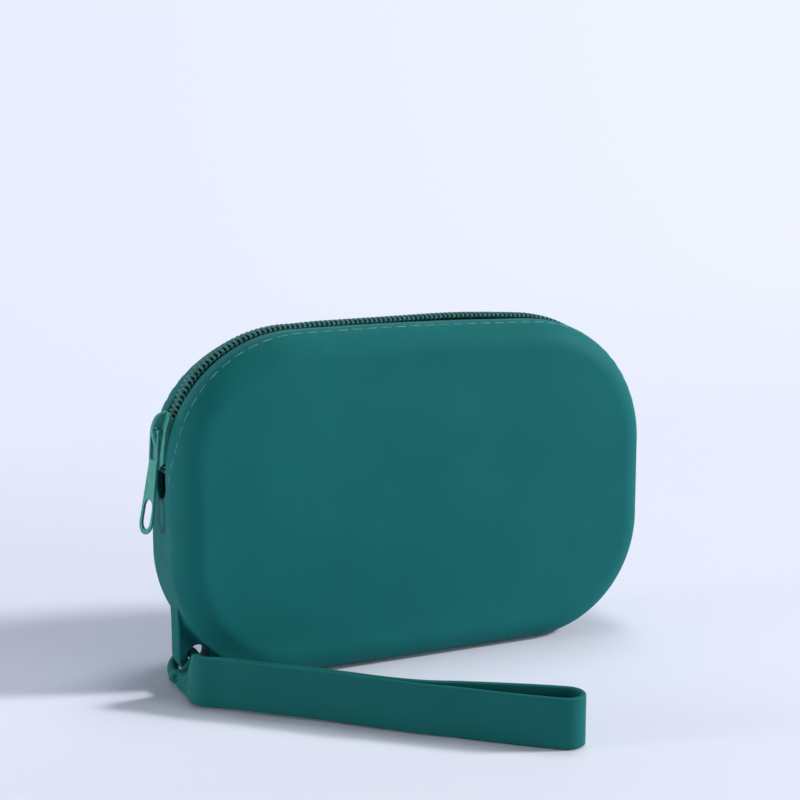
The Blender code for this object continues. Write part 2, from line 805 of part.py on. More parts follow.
def strap_neck(cutters):
    """Fan from the round gathered end nearly to the band's full width, its wide end in the band."""
    neck = neck_point()
    start = neck.xy
    end = min(strap_line(), key=lambda point: abs((point - start).length - NECK_LENGTH))
    along = (end - start).normalized()
    aside = Vector((-along.y, along.x))
    wide_thick = STRAP_LAYER_GAP / 2 + STRAP_THICKNESS * NECK_SINK
    wide_half = STRAP_WIDTH / 2 - STRAP_THICKNESS * (1 - NECK_SINK)
    round_half = NECK_START_WIDTH / 2
    sections = []
    for share, scale in NECK_STATIONS:
        centre = start + (end - start) * share
        grown = smooth_step(share)
        height = neck.z + (strap_middle_height(centre) - neck.z) * grown
        half_width = scale * (round_half + (wide_half - round_half) * grown)
        half_thick = scale * (round_half + (wide_thick - round_half) * grown)
        ring = []
        for side, rise in NECK_SECTION:
            plan = centre + aside * side * half_thick
            ring.append((plan.x, plan.y, height + rise * half_width))
        sections.append(ring)
    return loft("strap_neck_form", sections, cutters, None)


def build():
    clear_scene()
    parts = new_collection("silicone_zip_pouch")
    cutters = new_collection("cutters")
    half_shell("back_shell", False, parts, cutters)
    half_shell("front_shell", True, parts, cutters)
    strap_lug(parts, cutters)
    for side_name, side in (("back", 1), ("front", -1)):
        zip_tape(side_name + "_zip_tape", side, parts)
        zip_coil(side_name + "_zip_coil", side, parts)
        seam_threads(side_name, side, parts)
    slider = slider_body(parts, cutters)
    place_slider(slider, cutters)
    pull_tab(parts)
    strap_hitch(parts)
    wrist_strap(parts, cutters)
    for item in parts.objects:
        if item.name.startswith("front_"):
            move_origin(item, mouth_hinge())


build()
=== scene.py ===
"""Looks of the silicone zip pouch: one continuous skin, a sewn coil zip and a hitched wrist strap.

Lengths are in metres, in the same frame as the CAD.
"""
import bisect
import math

import bmesh
import bpy
from mathutils import Matrix, Vector


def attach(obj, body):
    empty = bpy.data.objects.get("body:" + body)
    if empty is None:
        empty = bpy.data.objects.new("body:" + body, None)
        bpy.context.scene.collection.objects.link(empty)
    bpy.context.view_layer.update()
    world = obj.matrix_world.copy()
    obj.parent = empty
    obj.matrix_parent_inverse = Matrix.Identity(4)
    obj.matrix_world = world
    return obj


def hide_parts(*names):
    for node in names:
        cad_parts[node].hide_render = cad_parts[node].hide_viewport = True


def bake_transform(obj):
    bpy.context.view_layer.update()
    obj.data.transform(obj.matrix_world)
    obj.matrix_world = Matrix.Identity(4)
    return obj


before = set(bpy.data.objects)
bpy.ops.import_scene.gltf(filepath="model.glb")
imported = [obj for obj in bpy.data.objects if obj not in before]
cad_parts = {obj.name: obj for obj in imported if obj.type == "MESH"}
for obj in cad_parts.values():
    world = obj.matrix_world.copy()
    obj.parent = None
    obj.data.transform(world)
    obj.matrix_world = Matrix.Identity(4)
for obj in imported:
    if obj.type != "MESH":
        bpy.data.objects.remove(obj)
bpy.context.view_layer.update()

# Pouch outline and shell, as in the CAD
POUCH_WIDTH = 0.1523
POUCH_HEIGHT = 0.100
POUCH_DEPTH = 0.0325
TOP_CORNER_RADIUS = 0.0388
BOTTOM_CORNER_RADIUS = 0.0365
TOP_EDGE_RADIUS = 1.25
FACE_FILLET = 0.0083
WALL = 0.0022
HALF_FLAT = POUCH_DEPTH / 2 - FACE_FILLET

# Mouth slit
HALF_MOUTH = 0.0047
SLIT_END_CENTRE = 0.0577
LIP_OUTER_ROUND = 0.0006
LIP_INNER_ROUND = 0.0005
LIP_OUTER_ROWS = (0.0011, 0.0021)
LIP_INNER_EDGE = 0.0018
SLIT_FADE = 0.0090
FADE_ROWS = 6
FAN_STEPS = 16
BASE_STEPS = 12
LOWER_STEP = 0.0018
FACE_CROWN = 0.0005
BACK_DIP = 0.0016
BACK_DIP_TURN = math.radians(60)
BACK_DIP_SPREAD = math.radians(24)
BACK_DIP_REACH = 0.0072

# Seam
SEAM_ACROSS = HALF_MOUTH + 0.0064
SEAM_TURN = math.asin((SEAM_ACROSS - HALF_FLAT) / FACE_FILLET)
SEAM_END_INSET = 0.0034
SEAM_END_LOW = 0.0550
SEAM_END_HIGH = 0.0700
STITCH_PITCH = 0.0046
STITCH_LENGTH = 0.0037
STITCH_DIP = 0.00026
STITCH_SLANT = 0.00010
STITCH_END_HEIGHT = 0.0556
THREAD_RADIUS = 0.00022
THREAD_SIDES = 8
THREAD_END_SHARE = 0.75
NEEDLE_LIFT = -0.00009
BOBBIN_LIFT = -0.00012
STATIONS_PER_STITCH = 6
FINE_STEP = 0.0012
GROOVE_HALF_WIDTH = 0.00042
GROOVE_DEPTH = 0.00002
NEEDLE_DEPTH = 0.00003
NEEDLE_SHARPNESS = 6

# Rows of the fillet in degrees: close on both sides of the seam, and wide elsewhere
ROWS_BEFORE_SEAM = (4.5, 9.0)
SEAM_ROWS = (-8.0, -5.2, -3.5, -2.2, -1.1, 0.0, 1.1, 2.2, 3.5, 5.2, 8.0)
ROWS_AFTER_SEAM = (37.0, 44.0, 51.0, 58.0, 65.0, 72.0, 79.0, 85.0, 90.0)

# Zip
TAPE_DEPTH = WALL + 0.0005
TAPE_THICKNESS = 0.0006
TAPE_INNER_EDGE = 0.0010
TAPE_HEM = 0.0011
TAPE_END_HEIGHT = 0.0478
TAPE_STEP = 0.0016
TAPE_FLAT_MARGIN = 0.0012
TAPE_LIFT = 0.0008
TAPE_CREST_EDGE = 0.0039
TAPE_SLOPE_END = 0.0045
TAPE_SUNK_HEIGHT = 0.0580
TAPE_RISEN_HEIGHT = 0.0645
COIL_SEAT = 0.0003
COIL_HEIGHT = 0.0017
COIL_PITCH = 0.0015
COIL_WIRE = 0.00042
COIL_WIRE_SIDES = 7
COIL_END_HEIGHT = 0.0610
COIL_SPREAD = 0.00085
SPREAD_START = 0.0012
SPREAD_LENGTH = 0.0026
SLIDER_STATION = math.radians(13.9)

# How far the zip arches out at the corners, along the top and at a hump on it, and between which places
CORNER_ARCH = 0.0008
CORNER_ARCH_Z = (0.0785, 0.087)
TOP_ARCH = 0.0002
TOP_ARCH_START_X = (-0.0365, -0.0280)
TOP_ARCH_END_X = (0.034, 0.062)
HUMP = 0.0006
HUMP_X = 0.018
HUMP_SPREAD = 0.020
HUMP_Z = (0.090, 0.095)

SHARP_EDGE = math.radians(40)
TAPE_SHARP_EDGE = math.radians(45)

# Camera, fitted to the photograph
CAMERA_PLACE = Vector((-0.18682, -0.38896, 0.14140))
CAMERA_AIM = Vector((0.42434, 0.89299, -0.14998))
CAMERA_LENS = 65.516


# Outline stations: x, z and the inward direction

def round_stations(centre, radius, start_deg, end_deg, count):
    stations = []
    for step in range(count + 1):
        angle = math.radians(start_deg + (end_deg - start_deg) * step / count)
        way_x, way_z = math.cos(angle), math.sin(angle)
        stations.append((centre[0] + radius * way_x, centre[1] + radius * way_z, -way_x, -way_z))
    return stations


def side_stations(side, start, end, count):
    heights = [start + (end - start) * step / count for step in range(count + 1)]
    return [(side * POUCH_WIDTH / 2, height, -side, 0.0) for height in heights]


def top_corner():
    offset = POUCH_WIDTH / 2 - TOP_CORNER_RADIUS
    reach = TOP_EDGE_RADIUS - TOP_CORNER_RADIUS
    tilt = math.asin(offset / reach)
    height = POUCH_HEIGHT - TOP_EDGE_RADIUS + reach * math.cos(tilt)
    return offset, height, math.degrees(tilt)


def joined(*runs):
    """Runs of stations joined end to end, without the doubled ones."""
    whole = list(runs[0])
    for run in runs[1:]:
        whole += run[1:]
    return whole


def upper_stations(step, end_height=SLIT_END_CENTRE):
    """From the left side, over the top edge, to the right side."""
    offset, height, tilt = top_corner()
    rise = max(1, round((height - end_height) / step))
    corner = round(TOP_CORNER_RADIUS * math.radians(90 - tilt) / step)
    top = round(2 * TOP_EDGE_RADIUS * math.radians(tilt) / step)
    return joined(
        side_stations(-1, end_height, height, rise),
        round_stations((-offset, height), TOP_CORNER_RADIUS, 180, 90 + tilt, corner),
        round_stations((0.0, POUCH_HEIGHT - TOP_EDGE_RADIUS), TOP_EDGE_RADIUS, 90 + tilt, 90 - tilt, top),
        round_stations((offset, height), TOP_CORNER_RADIUS, 90 - tilt, 0, corner),
        side_stations(1, height, end_height, rise),
    )


def lower_stations(step):
    """From the right side, round the bottom, to the left side."""
    offset = POUCH_WIDTH / 2 - BOTTOM_CORNER_RADIUS
    fade_end = SLIT_END_CENTRE - SLIT_FADE
    drop = round((fade_end - BOTTOM_CORNER_RADIUS) / step)
    corner = round(BOTTOM_CORNER_RADIUS * math.pi / 2 / step)
    centre_z = BOTTOM_CORNER_RADIUS
    base = [(offset - 2 * offset * part / BASE_STEPS, 0.0, 0.0, 1.0) for part in range(BASE_STEPS + 1)]
    return joined(
        side_stations(1, SLIT_END_CENTRE, fade_end, FADE_ROWS),
        side_stations(1, fade_end, centre_z, drop),
        round_stations((offset, centre_z), BOTTOM_CORNER_RADIUS, 0, -90, corner),
        base,
        round_stations((-offset, centre_z), BOTTOM_CORNER_RADIUS, -90, -180, corner),
        side_stations(-1, centre_z, fade_end, drop),
        side_stations(-1, fade_end, SLIT_END_CENTRE, FADE_ROWS),
    )


def run_lengths(stations):
    """Length along the stations up to each one."""
    lengths = [0.0]
    for near, far in zip(stations[:-1], stations[1:]):
        lengths.append(lengths[-1] + math.hypot(far[0] - near[0], far[1] - near[1]))
    return lengths


def inside(station, across, depth):
    """The point a depth inside the outline at a station."""
    x, z, way_x, way_z = station
    return Vector((x + way_x * depth, across, z + way_z * depth))


def fillet_place(radius, turn):
    return HALF_FLAT + radius * math.sin(turn), FACE_FILLET - radius * math.cos(turn)


def smooth_step(value):
    value = min(max(value, 0.0), 1.0)
    return value * value * (3 - 2 * value)


def rise_between(value, start, end):
    """From 0 at the start to 1 at the end, eased at both."""
    return smooth_step((value - start) / (end - start))


def quarter_turn(steps):
    """Cosine and sine at each step of a quarter turn."""
    turns = [math.pi / 2 * step / steps for step in range(steps + 1)]
    return [(math.cos(turn), math.sin(turn)) for turn in turns]


def lip_dip(station, side, across):
    """How far the back lip sags at the slider's corner; it fades out round the face's fillet."""
    offset, height, _ = top_corner()
    if side < 0 or station[0] > -offset / 2 or station[1] < height:
        return 0.0
    turn = math.atan2(station[1] - height, -offset - station[0])
    sag = BACK_DIP * math.exp(-((turn - BACK_DIP_TURN) / BACK_DIP_SPREAD) ** 2)
    return sag * (1 - smooth_step((across - HALF_FLAT) / BACK_DIP_REACH))


def on_shell(station, side, across, depth):
    """A point of the shell, or of what is sewn to it, at a distance to one side of the middle plane."""
    return inside(station, side * across, depth + lip_dip(station, side, across))


# Mesh helpers

def add_grid(work, rows):
    """Quads between rows of points."""
    grid = [[work.verts.new(point) for point in row] for row in rows]
    for near, far in zip(grid[:-1], grid[1:]):
        for index in range(len(near) - 1):
            work.faces.new((near[index], near[index + 1], far[index + 1], far[index]))
    return grid


def link_item(name, data):
    item = bpy.data.objects.new(name, data)
    bpy.context.scene.collection.objects.link(item)
    return item


def baked_mesh(item):
    """The mesh of an object with its modifiers, or its curve's thickness, worked in."""
    bpy.context.view_layer.update()
    return bpy.data.meshes.new_from_object(item.evaluated_get(bpy.context.evaluated_depsgraph_get()))


def finish_mesh(name, work, material, weld=2e-6):
    bmesh.ops.remove_doubles(work, verts=work.verts, dist=weld)
    bmesh.ops.dissolve_degenerate(work, edges=work.edges, dist=weld)
    bmesh.ops.recalc_face_normals(work, faces=work.faces)
    mesh = bpy.data.meshes.new(name)
    work.to_mesh(mesh)
    work.free()
    mesh.shade_smooth()
    mesh.materials.append(material)
    return link_item(name, mesh)


def sweep(work, rings, closed=False):
    """A tube through rings of equal point counts."""
    grid = [[work.verts.new(point) for point in ring] for ring in rings]
    pairs = list(zip(grid[:-1], grid[1:]))
    if closed:
        pairs.append((grid[-1], grid[0]))
    count = len(grid[0])
    for near, far in pairs:
        for index in range(count):
            after = (index + 1) % count
            work.faces.new((near[index], near[after], far[after], far[index]))
    if not closed:
        work.faces.new(grid[0])
        work.faces.new(grid[-1])


def frames_along(points, closed=False):
    """Tangent and two side directions at each point, carried along without twist."""
    count = len(points)
    tangents = []
    for index in range(count):
        ahead = points[(index + 1) % count] if closed or index < count - 1 else points[index]
        behind = points[index - 1] if closed or index > 0 else points[index]
        tangents.append((ahead - behind).normalized())
    first = tangents[0]
    side = first.cross(Vector((0, 0, 1)))
    if side.length < 0.1:
        side = first.cross(Vector((0, 1, 0)))
    side.normalize()
    frames = []
    for tangent in tangents:
        side = (side - tangent * side.dot(tangent)).normalized()
        frames.append((tangent, side, tangent.cross(side)))
    return frames


def round_ring(centre, side, rise, radius, count):
    ring = []
    for step in range(count):
        angle = 2 * math.pi * step / count
        ring.append(centre + side * radius * math.cos(angle) + rise * radius * math.sin(angle))
    return ring


def tube(work, points, radii, count):
    rings = []
    for point, size, (_, side, rise) in zip(points, radii, frames_along(points)):
        rings.append(round_ring(point, side, rise, size, count))
    sweep(work, rings)


def smooth_points(points, steps, closed=False):
    """Catmull-Rom curve through points."""
    if closed:
        held = [points[-1]] + list(points) + [points[0], points[1]]
    else:
        held = [points[0]] + list(points) + [points[-1]]
    course = []
    for index in range(1, len(held) - 2):
        before, start, end, after = (Vector(held[index + shift]) for shift in (-1, 0, 1, 2))
        for step in range(steps):
            t = step / steps
            bend = (2 * before - 5 * start + 4 * end - after) * t * t
            bend += (3 * start - 3 * end + after - before) * t ** 3
            course.append((2 * start + (end - before) * t + bend) / 2)
    if not closed:
        course.append(Vector(held[-2]))
    return course


# Materials

def new_material(name, colour, roughness, specular):
    material = bpy.data.materials.new(name)
    material.use_nodes = True
    shader = material.node_tree.nodes["Principled BSDF"]
    shader.inputs["Base Color"].default_value = (*colour, 1.0)
    shader.inputs["Roughness"].default_value = roughness
    shader.inputs["Specular IOR Level"].default_value = specular
    material.diffuse_color = (*colour, 1.0)
    return material, material.node_tree, shader


def add_node(tree, kind, **values):
    """A node with the values of its named inputs set."""
    node = tree.nodes.new(kind)
    for key, value in values.items():
        node.inputs[key.replace("_", " ")].default_value = value
    return node


def place_input(tree):
    return tree.nodes.new("ShaderNodeTexCoord").outputs["Object"]


def noise(tree, source, scale, detail=3.0, roughness=0.55):
    node = add_node(tree, "ShaderNodeTexNoise", Scale=scale, Detail=detail, Roughness=roughness)
    tree.links.new(source, node.inputs["Vector"])
    return node.outputs["Fac"]


def ramp(tree, source, low, high, low_value=0.0, high_value=1.0):
    """A value carried from one range to another, and held at the ends."""
    ends = {"From_Min": low, "From_Max": high, "To_Min": low_value, "To_Max": high_value}
    node = add_node(tree, "ShaderNodeMapRange", **ends)
    tree.links.new(source, node.inputs["Value"])
    return node.outputs["Result"]


def mix_colour(tree, share, first, second):
    node = tree.nodes.new("ShaderNodeMix")
    node.data_type = "RGBA"
    tree.links.new(share, node.inputs["Factor"])
    for slot, value in (("A", first), ("B", second)):
        socket = [item for item in node.inputs if item.name == slot and item.type == "RGBA"][0]
        if isinstance(value, tuple):
            socket.default_value = (*value, 1.0)
        else:
            tree.links.new(value, socket)
    return [item for item in node.outputs if item.type == "RGBA"][0]


def bump(tree, height, strength, distance, before=None):
    node = add_node(tree, "ShaderNodeBump", Strength=strength, Distance=distance)
    tree.links.new(height, node.inputs["Height"])
    if before:
        tree.links.new(before, node.inputs["Normal"])
    return node.outputs["Normal"]


def math_node(tree, operation, first, second):
    node = tree.nodes.new("ShaderNodeMath")
    node.operation = operation
    for index, value in enumerate((first, second)):
        if isinstance(value, (int, float)):
            node.inputs[index].default_value = value
        else:
            tree.links.new(value, node.inputs[index])
    return node.outputs["Value"]


def silicone_material(name, colour, light, roughness):
    """Matte silicone: fine moulded grain, faint cloudiness, a soft sheen and a few dust specks."""
    material, tree, shader = new_material(name, colour, roughness, specular=0.05)
    place = place_input(tree)
    cloud = ramp(tree, noise(tree, place, scale=45.0), 0.3, 0.7)
    darker, paler = (tuple(share * part for part in colour) for share in (0.93, 1.05))
    base = mix_colour(tree, cloud, darker, paler)
    cells = add_node(tree, "ShaderNodeTexVoronoi", Scale=190.0, Randomness=1.0)
    tree.links.new(place, cells.inputs["Vector"])
    speck = ramp(tree, cells.outputs["Distance"], 0.030, 0.045, 1.0, 0.0)
    chosen = ramp(tree, noise(tree, place, scale=60.0, detail=1.0), 0.66, 0.68, 0.0, 0.75)
    dust = math_node(tree, "MULTIPLY", speck, chosen)
    tree.links.new(mix_colour(tree, dust, base, light), shader.inputs["Base Color"])
    patches = ramp(tree, noise(tree, place, scale=320.0), 0.3, 0.7, roughness - 0.05, roughness + 0.06)
    tree.links.new(patches, shader.inputs["Roughness"])
    grain = bump(tree, noise(tree, place, scale=3800.0, detail=2.0), strength=0.10, distance=0.00004)
    swell = noise(tree, place, scale=130.0, detail=2.0)
    waves = bump(tree, swell, strength=0.06, distance=0.0006, before=grain)
    tree.links.new(waves, shader.inputs["Normal"])
    shader.inputs["Sheen Weight"].default_value = 0.02
    shader.inputs["Sheen Roughness"].default_value = 0.45
    shader.inputs["Sheen Tint"].default_value = (0.45, 0.95, 0.95, 1.0)
    return material


def ridges(tree, source, pitch):
    """A sine wave that repeats at a pitch in metres."""
    return math_node(tree, "SINE", math_node(tree, "MULTIPLY", source, 2 * math.pi / pitch), 0.0)


def cloth_material(name, colour, light):
    """Dense warp-knitted tape, its ribs laid out along the tape by the mesh's own UV map in metres; its
    rows carry painted shade in their hollows and painted light on their crests.
    """
    material, tree, shader = new_material(name, colour, roughness=0.85, specular=0.2)
    uv = tree.nodes.new("ShaderNodeUVMap")
    parts = tree.nodes.new("ShaderNodeSeparateXYZ")
    tree.links.new(uv.outputs["UV"], parts.inputs["Vector"])
    rib = ridges(tree, parts.outputs["Y"], RIB_PITCH)
    knit = ridges(tree, parts.outputs["X"], KNIT_PITCH)
    # The colour follows the rib level that the bump raises: painted shade in the sunk rows, painted light
    # on the raised ones
    level = ramp(tree, math_node(tree, "MULTIPLY", rib, knit), -1.0, 1.0)
    tree.links.new(mix_colour(tree, level, colour, light), shader.inputs["Base Color"])
    fuzz = bump(tree, noise(tree, place_input(tree), scale=5200.0), strength=0.35, distance=0.0001)
    knitted = bump(tree, level, strength=0.8, distance=0.00014, before=fuzz)
    tree.links.new(knitted, shader.inputs["Normal"])
    shader.inputs["Sheen Weight"].default_value = 0.15
    return material


def detail_material(name, colour, light, roughness, specular, grain_scale, grain_depth):
    """A small moulded, spun or painted part: mottled colour, uneven gloss and a fine surface."""
    material, tree, shader = new_material(name, colour, roughness, specular)
    place = place_input(tree)
    cloud = ramp(tree, noise(tree, place, scale=420.0), 0.35, 0.7)
    tree.links.new(mix_colour(tree, cloud, colour, light), shader.inputs["Base Color"])
    patches = ramp(tree, noise(tree, place, scale=900.0), 0.3, 0.7, roughness - 0.08, roughness + 0.08)
    tree.links.new(patches, shader.inputs["Roughness"])
    grain = bump(tree, noise(tree, place, grain_scale), strength=0.3, distance=grain_depth)
    tree.links.new(grain, shader.inputs["Normal"])
    return material


# Periods of the tape's knit
RIB_PITCH = 0.0008
KNIT_PITCH = 0.0007

# Name, base colour, second colour and what follows them in each material's function
SILICONES = {
    "silicone": ("pouch_silicone", (0.0062, 0.117, 0.120), (0.10, 0.32, 0.33), 0.57),
    # The band's silicone is a copy of the pouch's with more red: the extra red is painted sheen
    "strap": ("band_silicone_painted_sheen", (0.0085, 0.114, 0.115), (0.10, 0.30, 0.31), 0.54),
}
CLOTH = ("zip_cloth", (0.0020, 0.018, 0.019), (0.014, 0.100, 0.094))
DETAILS = {
    "coil": ("coil_nylon", (0.004, 0.078, 0.074), (0.02, 0.16, 0.15), 0.52, 0.22, 4000.0, 0.00003),
    "thread": ("seam_thread", (0.024, 0.19, 0.18), (0.06, 0.33, 0.31), 0.65, 0.3, 6000.0, 0.00008),
    "metal": ("slider_enamel", (0.020, 0.22, 0.19), (0.04, 0.28, 0.24), 0.44, 0.3, 2600.0, 0.00003),
}


def make_materials():
    materials = {key: silicone_material(*finish) for key, finish in SILICONES.items()}
    materials["tape"] = cloth_material(*CLOTH)
    for key, finish in DETAILS.items():
        materials[key] = detail_material(*finish)
    return materials


# Silicone skin

def outer_section():
    """Distance across and depth, from the lip out to where the fillet starts."""
    edge = LIP_OUTER_ROUND
    section = [(HALF_MOUTH + edge * (1 - cos), edge * (1 - sin)) for cos, sin in quarter_turn(5)]
    section += [(HALF_MOUTH + out, 0.0) for out in LIP_OUTER_ROWS]
    return section + [(HALF_FLAT, 0.0)]


def fillet_turns():
    seam = math.degrees(SEAM_TURN)
    turns = [*ROWS_BEFORE_SEAM, *(seam + shift for shift in SEAM_ROWS), *ROWS_AFTER_SEAM]
    return [math.radians(turn) for turn in turns]


def seam_groove(across, along, height):
    """The soft furrow that the thread pulls into the skin, deepest where the needle went in."""
    if height < SEAM_END_HIGH:
        return 0.0
    off_line = (across - SEAM_ACROSS) / GROOVE_HALF_WIDTH
    hole = max(math.cos(2 * math.pi * along / STITCH_PITCH), 0.0) ** NEEDLE_SHARPNESS
    return math.exp(-off_line ** 2) * (GROOVE_DEPTH + NEEDLE_DEPTH * hole)


def inner_section():
    """Distance across and depth of the inside, from the face's edge to the side wall."""
    return [fillet_place(FACE_FILLET - WALL, math.radians(turn)) for turn in range(90, -1, -15)]


def inner_lip():
    edge = LIP_INNER_ROUND
    section = [(HALF_MOUTH + edge * (1 - sin), WALL - edge * (1 - cos)) for cos, sin in quarter_turn(4)]
    return [(HALF_MOUTH + LIP_INNER_EDGE, WALL)] + section


def slit_flat_section():
    """The whole section of the flat side wall: inside, round the lip and back out."""
    return [(HALF_FLAT, WALL)] + inner_lip() + outer_section()


def add_slit_end(work, side):
    """The round end of the slit and the flat wall under it, on one side of the pouch."""
    angles = [math.pi * (step / FAN_STEPS - 0.5) for step in range(FAN_STEPS + 1)]
    rows = []
    for across, depth in slit_flat_section():
        x = side * (POUCH_WIDTH / 2 - depth)
        rows.append([(x, across * math.sin(turn), SLIT_END_CENTRE - across * math.cos(turn))
                     for turn in angles])
    add_grid(work, rows)
    for depth in (0.0, WALL):
        x = side * (POUCH_WIDTH / 2 - depth)
        rows = []
        for share in [row / FADE_ROWS for row in range(FADE_ROWS + 1)]:
            row = []
            for turn in angles:
                round_y = HALF_FLAT * math.sin(turn)
                round_z = SLIT_END_CENTRE - HALF_FLAT * math.cos(turn)
                flat_y = HALF_FLAT * turn / (math.pi / 2)
                flat_z = SLIT_END_CENTRE - SLIT_FADE
                row.append((x, round_y + (flat_y - round_y) * share, round_z + (flat_z - round_z) * share))
            rows.append(row)
        add_grid(work, rows)


def add_lower_wall(work, stations):
    """The flat wall from one slit end round the bottom to the other, outside and inside."""
    for depth in (0.0, WALL):
        rows = []
        for station in stations[FADE_ROWS:-FADE_ROWS]:
            across = [HALF_FLAT * (2 * step / FAN_STEPS - 1) for step in range(FAN_STEPS + 1)]
            rows.append([inside(station, y, depth) for y in across])
        add_grid(work, rows)


FACE_RINGS = (0.0095, 0.0115, 0.0145, 0.0185, 0.024, 0.030)


def face_bulge(depth):
    share = min((depth - FACE_FILLET) / (FACE_RINGS[-1] - FACE_FILLET), 1.0)
    return FACE_CROWN * smooth_step(share)


def add_face(work, stations, side, level):
    """Rings from the fillet's edge to the middle of a face, closed by one flat polygon."""
    rows = []
    for depth in (FACE_FILLET, *FACE_RINGS):
        across = side * (level + face_bulge(depth))
        rows.append([inside(station, across, depth) for station in stations + stations[:1]])
    grid = add_grid(work, rows)
    work.faces.new(grid[-1][:-1])


def add_upper_side(work, stations, side):
    """Inside, lip and fillet of one side, along the slit."""
    lengths = run_lengths(stations)
    middle = lengths[-1] / 2
    rows = []
    for station, along in zip(stations, lengths):
        section = inner_section() + inner_lip() + outer_section()
        for turn in fillet_turns():
            across, depth = fillet_place(FACE_FILLET, turn)
            section.append((across, depth + seam_groove(across, along - middle, station[1])))
        rows.append([on_shell(station, side, a, d) for a, d in section])
    add_grid(work, rows)


def add_lower_side(work, stations, side):
    """Fillet and inside of one side, below the slit."""
    outer = [(HALF_FLAT, 0.0)] + [fillet_place(FACE_FILLET, turn) for turn in fillet_turns()]
    for section in (outer, inner_section()):
        add_grid(work, [[inside(station, side * a, d) for a, d in section] for station in stations])


def build_skin(materials):
    """Outside, inside and lips of the whole pouch as one closed surface."""
    work = bmesh.new()
    upper = upper_stations(STITCH_PITCH / STATIONS_PER_STITCH)
    lower = lower_stations(LOWER_STEP)
    ring = upper + lower[1:-1]
    for side in (-1, 1):
        add_upper_side(work, upper, side)
        add_lower_side(work, lower, side)
        for level in (POUCH_DEPTH / 2, POUCH_DEPTH / 2 - WALL):
            add_face(work, ring, side, level)
    add_lower_wall(work, lower)
    for side in (-1, 1):
        add_slit_end(work, side)
    return finish_mesh("pouch_skin", work, materials["silicone"], weld=4e-6)


# Lug

LUG_INSET = 0.00305
LUG_THICKNESS = 0.0074
LUG_HOLE_RADIUS = 0.0030
LUG_HOLE_RIM = 0.0028
LUG_FLOOR_GAP = 0.0014
LUG_EDGE_ROUND = 0.0009
LUG_FLARE = 0.0016
LUG_SINK = 0.0009
LUG_LEAST_REACH = 0.00002
LUG_TURNS = (math.radians(203.0), math.radians(256.0))
LUG_STEPS = 66
FLARE_SHARE = 0.6
EDGE_SHARE = 0.35
LUG_HOLE_ROUND = 0.0009
LUG_HOLE_TURN = math.radians(80)
DRILL_SPARE = 0.002
DRILL_SIDES = 40


def lug_outer_x():
    return LUG_INSET - POUCH_WIDTH / 2


def lug_hole():
    reach = LUG_HOLE_RADIUS + LUG_HOLE_RIM
    return lug_outer_x() + reach, LUG_FLOOR_GAP + reach


def lug_reach(wall_x, wall_z, way_x, way_z):
    """Length of the lug from the pouch's wall to its outer edge in one direction."""
    hole_x, hole_z = lug_hole()
    reach = min((lug_outer_x() - wall_x) / way_x, (LUG_FLOOR_GAP - wall_z) / way_z)
    end_x, end_z = wall_x + way_x * reach, wall_z + way_z * reach
    if end_x < hole_x and end_z < hole_z:
        corner = LUG_HOLE_RADIUS + LUG_HOLE_RIM
        off_x, off_z = wall_x - hole_x, wall_z - hole_z
        toward = off_x * way_x + off_z * way_z
        reach = -toward + math.sqrt(max(toward ** 2 - off_x ** 2 - off_z ** 2 + corner ** 2, 0.0))
    return reach


def lug_ring(angle):
    """Section of the lug along one ray from the corner's centre: flared root, faces, rounded edge."""
    centre_x = BOTTOM_CORNER_RADIUS - POUCH_WIDTH / 2
    way_x, way_z = math.cos(angle), math.sin(angle)
    wall_x = centre_x + BOTTOM_CORNER_RADIUS * way_x
    wall_z = BOTTOM_CORNER_RADIUS + BOTTOM_CORNER_RADIUS * way_z
    reach = max(lug_reach(wall_x, wall_z, way_x, way_z), LUG_LEAST_REACH)
    flare = min(LUG_FLARE, reach * FLARE_SHARE)
    edge = min(LUG_EDGE_ROUND, reach * EDGE_SHARE)
    half, outer = LUG_THICKNESS / 2, reach - edge
    side = [(-LUG_SINK, half + flare)]
    side += [(flare * (1 - cos), half + flare * (1 - sin)) for cos, sin in quarter_turn(6)]
    side += [(flare + (outer - flare) * step / 5, half) for step in range(1, 6)]
    side += [(outer + edge * sin, half - edge * (1 - cos)) for cos, sin in quarter_turn(5)[1:]]
    middle = [(reach, half * share) for share in (0.5, 0.0, -0.5)]
    ring = side + middle + [(out, -across) for out, across in reversed(side)]
    return [Vector((wall_x + way_x * out, -across, wall_z + way_z * out)) for out, across in ring]


def spool_cutter():
    """A drill with flared ends, so that the hole it cuts has a rounded rim."""
    hole_x, hole_z = lug_hole()
    half = LUG_THICKNESS / 2
    profile = [(half + DRILL_SPARE, LUG_HOLE_RADIUS + LUG_HOLE_ROUND)]
    for step in range(7):
        turn = LUG_HOLE_TURN * (1 - step / 6)
        across = half - LUG_HOLE_ROUND + LUG_HOLE_ROUND * math.sin(turn)
        profile.append((across, LUG_HOLE_RADIUS + LUG_HOLE_ROUND * (1 - math.cos(turn))))
    profile += [(-across, radius) for across, radius in reversed(profile)]
    rings = []
    for across, radius in profile:
        centre = Vector((hole_x, across, hole_z))
        rings.append(round_ring(centre, Vector((1, 0, 0)), Vector((0, 0, 1)), radius, DRILL_SIDES))
    work = bmesh.new()
    sweep(work, rings)
    bmesh.ops.recalc_face_normals(work, faces=work.faces)
    mesh = bpy.data.meshes.new("lug_drill")
    work.to_mesh(mesh)
    work.free()
    return link_item("lug_drill", mesh)


def apply_modifiers(item):
    """Works an object's modifiers into its mesh."""
    mesh = baked_mesh(item)
    mesh.name = item.data.name + "_made"
    item.modifiers.clear()
    item.data = mesh


